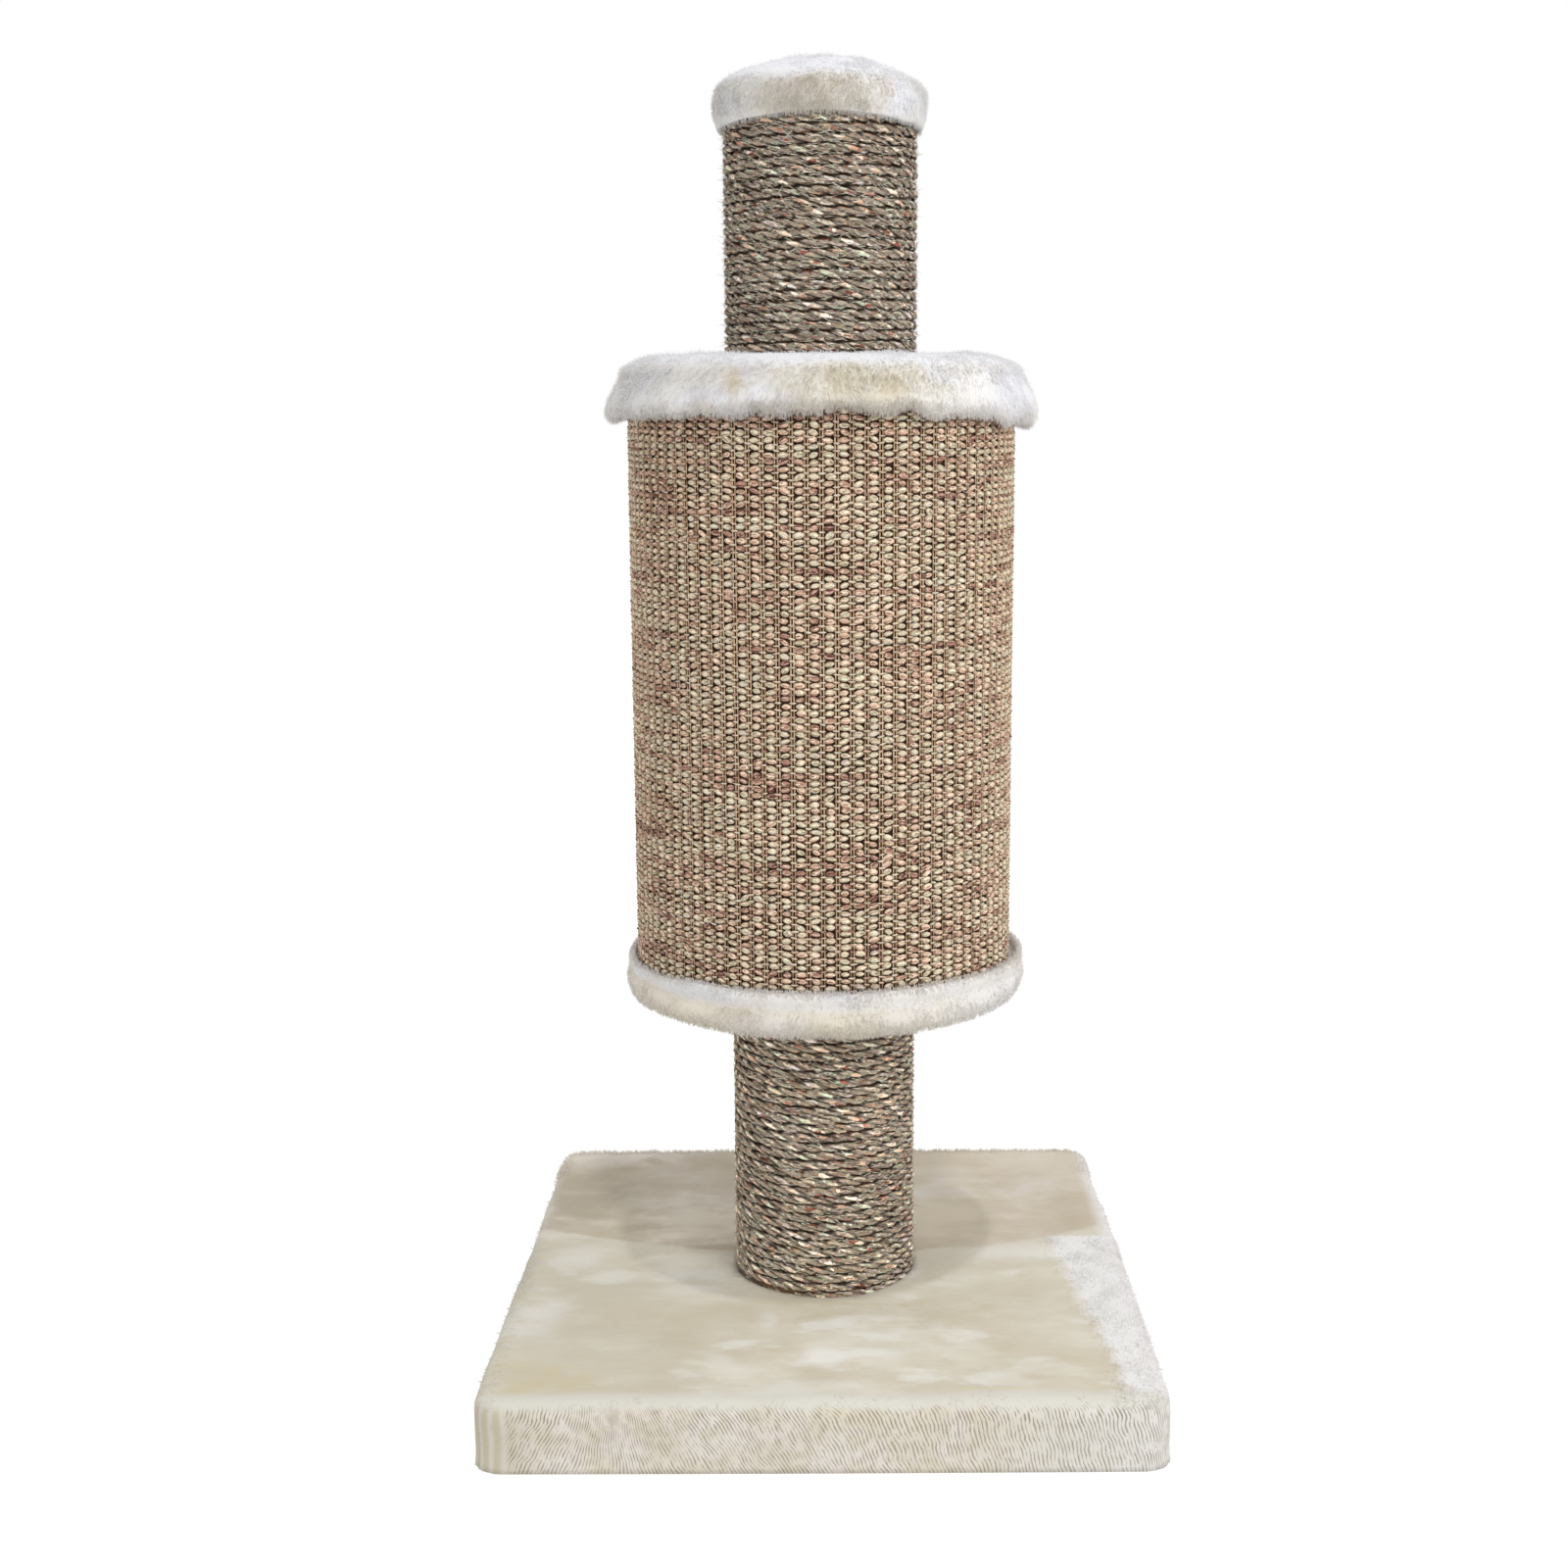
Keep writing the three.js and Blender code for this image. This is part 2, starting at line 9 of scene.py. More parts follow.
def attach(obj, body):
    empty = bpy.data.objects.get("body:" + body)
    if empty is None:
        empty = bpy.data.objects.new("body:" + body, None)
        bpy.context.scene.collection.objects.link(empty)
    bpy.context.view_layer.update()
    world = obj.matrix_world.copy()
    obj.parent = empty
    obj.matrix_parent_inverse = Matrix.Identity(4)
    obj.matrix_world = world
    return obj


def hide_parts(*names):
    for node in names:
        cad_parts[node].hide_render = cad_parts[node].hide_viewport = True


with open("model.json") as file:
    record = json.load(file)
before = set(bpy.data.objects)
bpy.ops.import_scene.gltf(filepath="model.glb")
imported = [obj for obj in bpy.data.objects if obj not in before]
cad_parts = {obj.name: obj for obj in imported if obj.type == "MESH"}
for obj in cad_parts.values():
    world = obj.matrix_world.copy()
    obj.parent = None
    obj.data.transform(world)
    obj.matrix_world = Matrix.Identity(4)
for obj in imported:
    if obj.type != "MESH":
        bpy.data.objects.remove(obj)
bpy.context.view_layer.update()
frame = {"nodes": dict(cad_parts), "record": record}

# lengths are in metres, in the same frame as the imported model: floor at z = 0, front towards -y


def clearSelection():
    if bpy.context.mode != "OBJECT":
        bpy.ops.object.mode_set(mode="OBJECT")
    bpy.ops.object.select_all(action="DESELECT")


def makeActive(thing):
    clearSelection()
    thing.select_set(True)
    bpy.context.view_layer.objects.active = thing


def modify(thing, kind, **settings):  # adds a modifier and applies it at once
    makeActive(thing)
    made = thing.modifiers.new(kind.title(), kind)
    for key, value in settings.items():
        setattr(made, key, value)
    bpy.ops.object.modifier_apply(modifier=made.name)


def bakePlace(thing):  # the object ends at the origin with its place in its mesh
    makeActive(thing)
    bpy.ops.object.transform_apply(location=True, rotation=True, scale=True)


def readCorners(mesh):
    flat = np.empty(len(mesh.vertices) * 3, np.float32)
    mesh.vertices.foreach_get("co", flat)
    return flat.reshape(-1, 3)


def writeCorners(mesh, corners):
    mesh.vertices.foreach_set("co", corners.astype(np.float32).ravel())
    mesh.update()


def putOn(mesh, name, values):  # a number or a vector for every corner, for the materials to read
    kind, field = ("FLOAT", "value") if values.ndim == 1 else ("FLOAT_VECTOR", "vector")
    made = mesh.attributes.new(name, kind, "POINT")
    made.data.foreach_set(field, values.astype(np.float32).ravel())


def settle(thing, material, slot, *nodes):  # the last thing done to each piece
    thing.data.materials.clear()
    thing.data.materials.append(material)
    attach(thing, "root")
    if nodes:
        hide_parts(*nodes)
    print("made", thing.name, len(thing.data.polygons), "faces")
    return thing


def unit(vectors):
    return vectors / np.maximum(np.linalg.norm(vectors, axis=1, keepdims=True), 1e-9)


def smooth(low, high, values):
    share = np.clip((values - low) / (high - low), 0, 1)
    return share * share * (3 - 2 * share)


def wander(points, size, seed):  # soft noise from -1 to 1, as three numbers for each point
    shift = Vector((seed * 7.31, seed * 3.17, seed * 5.77))
    return np.array([noise.noise_vector(Vector(p) / size + shift) for p in points])


# sums on sockets: every material below is written with this class
class Wire:  # one output socket that can be used in sums
    def __init__(self, tree, socket=None):
        self.tree, self.socket = tree, socket

    def node(self, kind, settings=None, inputs=None, output=0):
        made = self.tree.nodes.new(kind)
        for key, value in (settings or {}).items():
            if key == "stops":
                marks = made.color_ramp.elements
                while len(marks) < len(value):
                    marks.new(1.0)
                for mark, (position, colour) in zip(marks, value):
                    mark.position, mark.color = position, colour
            elif key == "interpolation":
                made.color_ramp.interpolation = value
            else:
                setattr(made, key, value)
        for key, value in (inputs or {}).items():
            if isinstance(value, Wire):
                self.tree.links.new(value.socket, made.inputs[key])
            else:
                made.inputs[key].default_value = value
        return Wire(self.tree, made.outputs[output])

    def maths(self, operation, first, second):
        return self.node("ShaderNodeMath", {"operation": operation}, {0: first, 1: second})

    def __add__(self, other):
        return self.maths("ADD", self, other)

    def __sub__(self, other):
        return self.maths("SUBTRACT", self, other)

    def __mul__(self, other):
        return self.maths("MULTIPLY", self, other)

    def __truediv__(self, other):
        return self.maths("DIVIDE", self, other)

    def __rsub__(self, other):
        return self.maths("SUBTRACT", other, self)

    __radd__, __rmul__ = __add__, __mul__


def paint(red, green, blue):  # a colour as a picture editor shows it, 0 to 255
    def light(part):
        part = part / 255
        return part / 12.92 if part <= 0.04045 else ((part + 0.055) / 1.055) ** 2.4
    return (light(red), light(green), light(blue), 1.0)


def newMaterial(name, **constants):
    material = bpy.data.materials.new(name)
    material.use_nodes = True
    tree = material.node_tree
    shader = tree.nodes["Principled BSDF"]
    for key, value in constants.items():
        shader.inputs[key.replace("_", " ")].default_value = value
    return material, Wire(tree), shader


def feed(shader, socket, wire):
    wire.tree.links.new(wire.socket, shader.inputs[socket])


def objectSpot(start):
    return start.node("ShaderNodeTexCoord", output="Object")


def stretched(start, spot, scale):
    return start.node("ShaderNodeMapping", {"vector_type": "POINT"}, {"Vector": spot, "Scale": scale})


def cloud(start, spot, scale, detail=3.0, output="Fac", roughness=0.5):
    return start.node("ShaderNodeTexNoise", None,
                      {"Vector": spot, "Scale": scale, "Detail": detail, "Roughness": roughness}, output)


def between(start, low, high, value):  # 0 below low, 1 above high, smooth from one to the other
    return start.node("ShaderNodeMapRange", {"interpolation_type": "SMOOTHSTEP"},
                      {"Value": value, "From Min": low, "From Max": high})


def blend(start, first, second, share, how="MIX"):
    return start.node("ShaderNodeMix", {"data_type": "RGBA", "blend_type": how},
                      {0: share, 6: first, 7: second}, 2)


def ramp(start, value, stops, how="LINEAR"):
    return start.node("ShaderNodeValToRGB", {"stops": stops, "interpolation": how}, {0: value}, "Color")


def attribute(start, name, output="Fac"):
    return start.node("ShaderNodeAttribute", {"attribute_name": name}, None, output)


def addBump(start, shader, height, distance, strength=1.0):
    feed(shader, "Normal", start.node("ShaderNodeBump", None,
                                      {"Height": height, "Distance": distance, "Strength": strength}))


cameraLook = {"place": (0.0, -1.6784, 0.7785), "tilt": 10.54, "roll": 0.25, "lens": 48.29, "shift": -0.0247}
roomLook = {"ambient": 0.70, "keyPower": 33.0, "fillPower": 4.0, "overhead": 0.55,
            "floorGlow": 0.8, "floorWhite": 1.24}


def addCamera():
    bpy.ops.object.camera_add(location=cameraLook["place"],
                              rotation=(math.radians(90 - cameraLook["tilt"]), 0, 0))
    eye = bpy.context.active_object
    eye.rotation_euler.rotate_axis("Z", -math.radians(cameraLook["roll"]))
    eye.data.lens = cameraLook["lens"]
    eye.data.shift_x = cameraLook["shift"]  # the photograph is trimmed a little off centre
    bpy.context.scene.camera = eye


def addLamp(name, place, aim, power, size, kind="AREA"):
    bpy.ops.object.light_add(type=kind, location=place)
    lamp = bpy.context.active_object
    lamp.name = name
    lamp.data.energy = power
    setattr(lamp.data, "size" if kind == "AREA" else "angle", size)
    lamp.rotation_euler = (Vector(aim) - Vector(place)).to_track_quat("-Z", "Y").to_euler()


def seenDirectly(start):  # 1 where the camera, a gloss or a glass looks straight at it
    camera = start.node("ShaderNodeLightPath", output="Is Camera Ray")
    gloss, glass = (Wire(start.tree, camera.socket.node.outputs[f"Is {kind} Ray"]) for kind in ("Glossy", "Transmission"))
    return start.maths("MAXIMUM", camera, start.maths("MAXIMUM", gloss, glass))


def addRoom():
    clearSelection()
    bpy.ops.mesh.primitive_plane_add(size=12)
    floor = bpy.context.active_object
    floor.name = "floor"
    material, start, shader = newMaterial("white floor", Roughness=0.9)
    shader.inputs["Base Color"].default_value = (0.8, 0.8, 0.8, 1)
    seen = seenDirectly(start)
    glow = start.node("ShaderNodeEmission", None, {"Color": (1, 1, 1, 1), "Strength": roomLook["floorWhite"]}, "Emission")
    mixed = start.node("ShaderNodeMixShader", None,
                       {0: seen * roomLook["floorGlow"], 1: Wire(start.tree, shader.outputs[0]), 2: glow})
    sheet = material.node_tree.nodes["Material Output"]
    start.tree.links.new(mixed.socket, sheet.inputs["Surface"])
    floor.data.materials.append(material)

    world = bpy.data.worlds.new("white room")
    world.use_nodes = True
    bpy.context.scene.world = world
    start = Wire(world.node_tree)
    seen = seenDirectly(start)
    sky = world.node_tree.nodes["Background"]
    sky.inputs["Color"].default_value = (1, 1, 1, 1)
    feed(sky, "Strength", seen * (1 - roomLook["ambient"]) + roomLook["ambient"])

    addLamp("key", (1.6, -2.0, 1.9), (0, 0, 0.5), roomLook["keyPower"], 1.2)
    addLamp("fill", (-1.8, -1.5, 1.0), (0, 0, 0.5), roomLook["fillPower"], 1.6)
    addLamp("overhead", (0.2, -0.88, 3.06), (0, 0, 0.2), roomLook["overhead"], math.radians(2.5), "SUN")
    scene = bpy.context.scene
    scene.view_settings.view_transform = "Standard"


addCamera()
addRoom()
print("camera, floor and light stand")


def copyMany(name, model, origins, sideways, bend, along, tones):
    # every copy has its own corners: model x goes sideways, y bends, z runs along
    mesh = model.data
    local = readCorners(mesh)
    loops = np.empty(len(mesh.loops), np.int32)
    mesh.loops.foreach_get("vertex_index", loops)
    starts = np.empty(len(mesh.polygons), np.int32)
    mesh.polygons.foreach_get("loop_start", starts)
    count, corners = len(origins), len(local)
    world = origins[:, None, :] + local[None, :, 0, None] * sideways[:, None, :]
    world = world + local[None, :, 1, None] * bend[:, None, :] + local[None, :, 2, None] * along[:, None, :]
    steps = np.arange(count, dtype=np.int32)[:, None]
    made = bpy.data.meshes.new(name)
    made.vertices.add(corners * count)
    made.vertices.foreach_set("co", world.astype(np.float32).ravel())
    made.loops.add(len(loops) * count)
    made.loops.foreach_set("vertex_index", (loops[None, :] + corners * steps).ravel())
    made.polygons.add(len(starts) * count)
    made.polygons.foreach_set("loop_start", (starts[None, :] + len(loops) * steps).ravel())
    made.update(calc_edges=True)
    made.polygons.foreach_set("use_smooth", np.ones(len(starts) * count, bool))
    putOn(made, "tone", np.repeat(tones, corners))
    putOn(made, "own", (local[None, :, :] + tones[:, None, None] * 17.0).reshape(-1, 3))
    thing = bpy.data.objects.new(name, made)
    bpy.context.collection.objects.link(thing)
    return thing


def hairBlade():  # one flat hair a unit long, wide at its root and bent along y towards its tip
    clearSelection()
    bpy.ops.mesh.primitive_plane_add(size=1, location=(0, 0, 0.25), rotation=(math.radians(90), 0, 0))
    blade = bpy.context.active_object
    blade.scale = (1, 0.5, 1)
    bakePlace(blade)
    bpy.ops.object.mode_set(mode="EDIT")
    bpy.ops.mesh.select_all(action="DESELECT")
    bpy.ops.mesh.select_mode(type="EDGE")
    bpy.ops.object.mode_set(mode="OBJECT")
    for edge in blade.data.edges:
        edge.select = all(blade.data.vertices[v].co.z > 0.4 for v in edge.vertices)
    bpy.ops.object.mode_set(mode="EDIT")
    bpy.ops.transform.resize(value=(0.8, 1, 1), center_override=(0, 0, 0.5))
    bpy.ops.transform.translate(value=(0, 0.25, 0))
    bpy.ops.mesh.extrude_edges_move(TRANSFORM_OT_translate={"value": (0, 0.75, 0.5)})
    bpy.ops.mesh.merge(type="CENTER")
    bpy.ops.object.mode_set(mode="OBJECT")
    return blade


def scatter(shell, density, seed):  # points on a shell, with its own normal at each
    mesh = shell.data
    mesh.calc_loop_triangles()
    corners = readCorners(mesh)
    normals = np.empty(len(mesh.vertices) * 3, np.float32)
    mesh.vertex_normals.foreach_get("vector", normals)
    normals = normals.reshape(-1, 3)
    triangles = np.empty(len(mesh.loop_triangles) * 3, np.int32)
    mesh.loop_triangles.foreach_get("vertices", triangles)
    triangles = triangles.reshape(-1, 3)
    first, second, third = (corners[triangles[:, k]] for k in range(3))
    crossed = np.cross(second - first, third - first)
    areas = np.linalg.norm(crossed, axis=1) / 2
    wanted = areas * density((first + second + third) / 3, unit(crossed))
    chance = np.random.default_rng(seed)
    picked = chance.choice(len(areas), int(wanted.sum()), p=wanted / wanted.sum())
    u, v = chance.random(len(picked)), chance.random(len(picked))
    over = u + v > 1
    u[over], v[over] = 1 - u[over], 1 - v[over]
    shares = np.stack([1 - u - v, u, v], axis=1)
    points = sum(corners[triangles[picked, k]] * shares[:, k, None] for k in range(3))
    facing = sum(normals[triangles[picked, k]] * shares[:, k, None] for k in range(3))
    return points, unit(facing)


def growPile(name, shell, look, density, comb, seed):
    points, normals = scatter(shell, density, seed)
    chance = np.random.default_rng(seed + 1)
    count = len(points)
    lean = comb(points, normals)
    loose = chance.normal(0, look["loose"], (count, 3))
    drift = wander(points, look["driftSize"], seed) * look["drift"]
    way = unit(normals * look["lift"] + lean + loose + drift)
    way = unit(way + normals * np.maximum(0.12 - (way * normals).sum(1), 0)[:, None])
    length = look["length"] * chance.uniform(0.7, 1.25, count)
    tips = points + way * length[:, None]
    tips[:, 2] = np.maximum(tips[:, 2], 0.0012)  # none goes into the floor
    middles = chance.choice(count, max(count // look["perLock"], 1), replace=False)
    tree = kdtree.KDTree(len(middles))
    for index, middle in enumerate(middles):
        tree.insert(points[middle], index)
    tree.balance()
    nearest = np.array([tree.find(point)[1] for point in points])
    lockTips = tips[middles][nearest] + chance.normal(0, 0.0004, (count, 3))
    straight = points + way * (length * 0.94)[:, None]
    goal = tips * (1 - look["locks"]) + lockTips * look["locks"]
    straight[:, 2] = np.maximum(straight[:, 2], 0.0012)
    goal[:, 2] = np.maximum(goal[:, 2], 0.0012)
    roll = chance.normal(0, 0.35, count)[:, None]
    side = unit(np.cross(way, normals) + 1e-4)
    side = unit(side * np.cos(roll) + np.cross(way, side) * np.sin(roll))
    width = look["width"] * chance.uniform(0.7, 1.3, count)
    blade = hairBlade()
    tones = (chance.random(len(middles))[nearest] * 0.6 + chance.random(count) * 0.4)
    hair = copyMany(name, blade, points - normals * 0.0008, side * width[:, None], goal - straight,
                    straight - points, tones)
    bpy.data.objects.remove(blade)
    return hair


def straySlivers(name, radius, low, high, look, seed):
    # loose fibres that lie on a round surface and stick out of it at one end
    chance = np.random.default_rng(seed)
    count = look["count"]
    turn, height = chance.uniform(0, 2 * math.pi, count), chance.uniform(low, high, count)
    outward = np.stack([np.cos(turn), np.sin(turn), np.zeros(count)], 1)
    round_ = np.stack([-np.sin(turn), np.cos(turn), np.zeros(count)], 1)
    slope = chance.normal(look["slope"], look["spread"], count)[:, None]
    way = unit((round_ + [0, 0, 1] * slope) * np.sign(chance.normal(size=count))[:, None]
               + outward * chance.uniform(0.0, look["out"], count)[:, None])
    length = look["length"] * chance.uniform(0.4, 1.3, count)
    points = outward * (radius - 0.0006) + np.stack([np.zeros(count), np.zeros(count), height], 1)
    side = unit(np.cross(way, outward) + 1e-4)
    width = look["width"] * chance.uniform(0.6, 1.2, count)
    curl = outward * (chance.normal(0.05, 0.12, count) * length)[:, None]
    blade = hairBlade()
    made = copyMany(name, blade, points, side * width[:, None], curl, way * length[:, None], chance.random(count))
    bpy.data.objects.remove(blade)
    return made


ropeLook = {
    "ropeRadius": 0.00372, "strandRadius": 0.00202, "strandOut": 0.00172, "lay": 0.040,
    "layStep": 12, "sides": 6, "middleRadius": 0.07146, "pitch": 0.0075,
    "rough": (0.0016, 0.0010), "roughSize": (0.007, 0.0024), "unevenWinding": 0.0004, "pointsPerTurn": 60,
}
fibreLook = {"count": 1300, "length": 0.010, "width": 0.00040, "out": 0.6, "slope": 0.0, "spread": 0.6}
flatFibreLook = {"count": 8500, "length": 0.0068, "width": 0.00052, "out": 0.07, "slope": -0.20, "spread": 0.24}


def twistedStrands(name, length):  # the straight rope, laid along x
    clearSelection()
    lays = round(length / ropeLook["lay"])
    bpy.ops.mesh.primitive_circle_add(vertices=ropeLook["sides"], radius=ropeLook["strandRadius"],
                                      location=(0, ropeLook["strandOut"], 0), rotation=(0, math.radians(90), 0))
    rope = bpy.context.active_object
    rope.name = name
    bakePlace(rope)
    bpy.ops.object.mode_set(mode="EDIT")
    bpy.ops.mesh.select_all(action="SELECT")
    for _ in range(2):  # the other two strands, a third of a turn on each time
        bpy.ops.mesh.duplicate()
        bpy.ops.transform.rotate(value=math.radians(120), orient_axis="X", center_override=(0, 0, 0))
    bpy.ops.object.mode_set(mode="OBJECT")
    modify(rope, "SCREW", axis="X", angle=2 * math.pi, screw_offset=length / lays, iterations=lays,
           steps=ropeLook["layStep"], render_steps=ropeLook["layStep"], use_smooth_shade=True)
    corners = readCorners(rope.data)
    strand, offset, best = np.zeros(len(corners)), np.zeros((len(corners), 2)), np.full(len(corners), 9.0)
    for hand in (1, -1):
        for k in range(3):
            turn = hand * 2 * math.pi * corners[:, 0] / (length / lays) + k * 2 * math.pi / 3
            middle = np.stack([np.cos(turn), np.sin(turn)], 1) * ropeLook["strandOut"]
            away = np.linalg.norm(corners[:, 1:] - middle, axis=1)
            closer = away < best - 1e-6
            strand[closer], best[closer] = k, away[closer]
            offset[closer] = (corners[:, 1:] - middle)[closer]
    putOn(rope.data, "own", np.column_stack([corners[:, 0] + strand * 31.7, offset]))
    # each corner's distance from the rope's middle; the rope's material paints shade into the grooves from it
    putOn(rope.data, "tone", np.hypot(corners[:, 1], corners[:, 2]))
    makeActive(rope)
    bpy.ops.object.mode_set(mode="EDIT")
    bpy.ops.mesh.select_all(action="SELECT")
    bpy.ops.mesh.fill_holes(sides=0)
    bpy.ops.mesh.normals_make_consistent(inside=False)
    bpy.ops.object.mode_set(mode="OBJECT")
    for strength, size in zip(ropeLook["rough"], ropeLook["roughSize"]):
        lumps = bpy.data.textures.new(name + "_lumps", "CLOUDS")
        lumps.noise_scale = size
        modify(rope, "DISPLACE", texture=lumps, texture_coords="LOCAL", strength=strength, mid_level=0.5)
    return rope


def windRope(name, low, high, node, lift, seed):
    turns = (high - low - 2 * ropeLook["ropeRadius"]) / ropeLook["pitch"]
    radius = ropeLook["middleRadius"]
    length = turns * math.hypot(2 * math.pi * radius, ropeLook["pitch"])
    rope = twistedStrands(name, length)
    path = bpy.data.curves.new(name + "_path", "CURVE")
    path.dimensions, path.twist_mode = "3D", "Z_UP"
    spline = path.splines.new("POLY")
    count = int(turns * ropeLook["pointsPerTurn"]) + 1
    spline.points.add(count - 1)
    for k in range(count):
        share = k / (count - 1)
        turn = share * turns * 2 * math.pi
        uneven = noise.noise_vector(Vector((math.cos(turn) * 1.6, math.sin(turn) * 1.6, share * turns * 0.9 + seed)))
        out = radius + uneven.x * ropeLook["unevenWinding"]
        edge = min(1.0, 6 * share, 6 * (1 - share))  # the ends lie flat against the plush
        height = low + ropeLook["ropeRadius"] + share * turns * ropeLook["pitch"] + uneven.y * 0.0006 * edge
        spline.points[k].co = (out * math.cos(turn - 1.9), out * math.sin(turn - 1.9), height, 1)
    helix = bpy.data.objects.new(name + "_path", path)
    bpy.context.collection.objects.link(helix)
    modify(rope, "CURVE", object=helix, deform_axis="POS_X")
    bpy.data.objects.remove(helix)
    settle(rope, ropeShade(name + " sisal", lift), "sisal_rope", node)
    outside = radius + ropeLook["ropeRadius"]
    hairs = straySlivers(name + "_fibres", outside, low + 0.004, high - 0.004, fibreLook, seed)
    settle(hairs, sliverMaterial, "sisal_rope")
    lying = straySlivers(name + "_yarn", outside - 0.0002, low + 0.003, high - 0.003, flatFibreLook, seed + 1)
    settle(lying, yarnShade(name + " yarn", lift), "sisal_rope")


def sisalColours(start, value):
    return ramp(start, value, [
        (0.00, paint(112, 78, 66)), (0.07, paint(172, 106, 94)), (0.13, paint(234, 190, 168)),
        (0.24, paint(208, 190, 166)), (0.36, paint(234, 226, 212)), (0.48, paint(216, 203, 186)),
        (0.58, paint(236, 230, 218)), (0.68, paint(186, 198, 174)), (0.77, paint(212, 230, 214)),
        (0.85, paint(212, 201, 212)), (0.93, paint(237, 231, 222)), (1.00, paint(230, 211, 184)),
    ])


def ropeShade(name, lift):
    material, start, shader = newMaterial(name, Roughness=0.85, Specular_IOR_Level=0.15)
    own = attribute(start, "own", "Vector")
    bundle = start.node("ShaderNodeTexVoronoi", {"feature": "F1"},
                        {"Vector": stretched(start, own, (92, 520, 520)), "Scale": 1.0, "Randomness": 1.0}, "Color")
    colour = sisalColours(start, start.node("ShaderNodeSeparateColor", None, {0: bundle}, 0))
    shade = start.node("ShaderNodeSeparateColor", None, {0: bundle}, 1)
    colour = blend(start, colour, ramp(start, shade, [(0.0, (0.30, 0.25, 0.22, 1)), (0.26, (0.58, 0.53, 0.49, 1)),
                                                      (0.5, (1, 1, 1, 1))]), 1.0, "MULTIPLY")
    fine = start.node("ShaderNodeTexVoronoi", {"feature": "F1"},
                      {"Vector": stretched(start, own, (200, 1500, 1500)), "Scale": 1.0, "Randomness": 1.0}, "Color")
    fine = start.node("ShaderNodeSeparateColor", None, {0: fine}, 1)
    colour = blend(start, colour, ramp(start, fine, [(0.0, (0.26, 0.20, 0.18, 1)), (0.2, (0.74, 0.69, 0.66, 1)),
                                                     (0.45, (1, 1, 1, 1))]), 1.0, "MULTIPLY")
    # painted shade: the grooves between the three strands and between the turns of the rope are painted near-black
    # brown
    fromPost = start.node("ShaderNodeVectorMath", {"operation": "LENGTH"},
                          {0: stretched(start, objectSpot(start), (1, 1, 0))}, "Value")
    patchy = cloud(start, stretched(start, objectSpot(start), (110, 110, 240)), 1.0, 2.0) - 0.5
    outsideGrooveShade = between(start, 0.0017, 0.0033, attribute(start, "tone")) * 0.74 + 0.26
    outsideGrooveShade = outsideGrooveShade * between(start, 0.0720, 0.0745, fromPost + patchy * 0.0036)
    bridged = between(start, 0.50, 0.60, cloud(start, stretched(start, objectSpot(start), (75, 75, 330)), 1.0, 2.0))
    outsideGrooveShade = outsideGrooveShade + (outsideGrooveShade * -1 + 1) * bridged * 0.5  # fibres cross some of the gaps
    colour = blend(start, colour, (lift, lift * 0.98, lift * 0.95, 1), 1.0, "MULTIPLY")
    colour = blend(start, blend(start, colour, paint(54, 34, 27), 0.9), colour, outsideGrooveShade)
    drifts = cloud(start, stretched(start, objectSpot(start), (12, 12, 70)), 1.0, 2.0)
    colour = blend(start, colour, ramp(start, drifts, [(0.36, paint(186, 174, 166)), (0.6, paint(255, 254, 246))]),
                   0.6, "MULTIPLY")
    feed(shader, "Base Color", colour)
    addBump(start, shader, fine, 0.0006, 0.9)
    return material


def yarnShade(name, lift):
    material, start, shader = newMaterial(name, Roughness=0.85, Specular_IOR_Level=0.15)
    tone = attribute(start, "tone")
    colour = blend(start, sisalColours(start, tone), (lift * 0.66, lift * 0.645, lift * 0.62, 1), 1.0, "MULTIPLY")
    colour = blend(start, paint(58, 40, 34), colour, between(start, 0.30, 0.36, tone))
    spots = cloud(start, stretched(start, attribute(start, "own", "Vector"), (2.0, 2.0, 3.5)), 1.0)
    feed(shader, "Base Color", blend(start, colour, ramp(start, spots, [(0.3, paint(168, 146, 130)), (0.55, paint(255, 252, 246))]),
                                     0.8, "MULTIPLY"))
    feed(shader, "Roughness", 0.7 + spots * 0.2)
    return material


def sliverShade():
    material, start, shader = newMaterial("loose fibres", Roughness=0.7, Specular_IOR_Level=0.2)
    spots = cloud(start, stretched(start, attribute(start, "own", "Vector"), (2.0, 2.0, 2.5)), 1.0)
    colour = ramp(start, attribute(start, "tone"), [
        (0.0, paint(110, 84, 70)), (0.25, paint(206, 192, 168)), (0.5, paint(236, 228, 208)),
        (0.75, paint(196, 204, 180)), (1.0, paint(240, 230, 218))])
    feed(shader, "Base Color", blend(start, colour, blend(start, paint(150, 130, 104), paint(255, 255, 250), spots),
                                     0.35, "MULTIPLY"))
    feed(shader, "Roughness", 0.55 + spots * 0.3)
    return material


sliverMaterial = sliverShade()
# the lower rope's colour is lifted more than the upper's: painted light that makes up for the shade the lower platform
# casts on it
windRope("lower_rope", 0.0513, 0.3001, "lower_post_rope", 1.90, 11)
windRope("upper_rope", 0.8010, 0.9896, "upper_post_rope", 1.46, 23)
print("both posts are wound")

matLook = {
    "columns": 86, "rows": 86, "low": 0.3243, "high": 0.7739, "middleRadius": 0.1500,
    "knotHalf": (0.0045, 0.00248, 0.0023), "floatHalf": (0.0031, 0.00086, 0.0010), "floatRadius": 0.1515,
    "warpRadius": 0.1503, "warpHalf": 0.00052, "seamAt": 90.0, "backOut": 0.1492, "backIn": 0.1479,
}
matFibres = {"count": 700, "length": 0.010, "width": 0.00042, "out": 0.3, "slope": 0.0, "spread": 1.2}


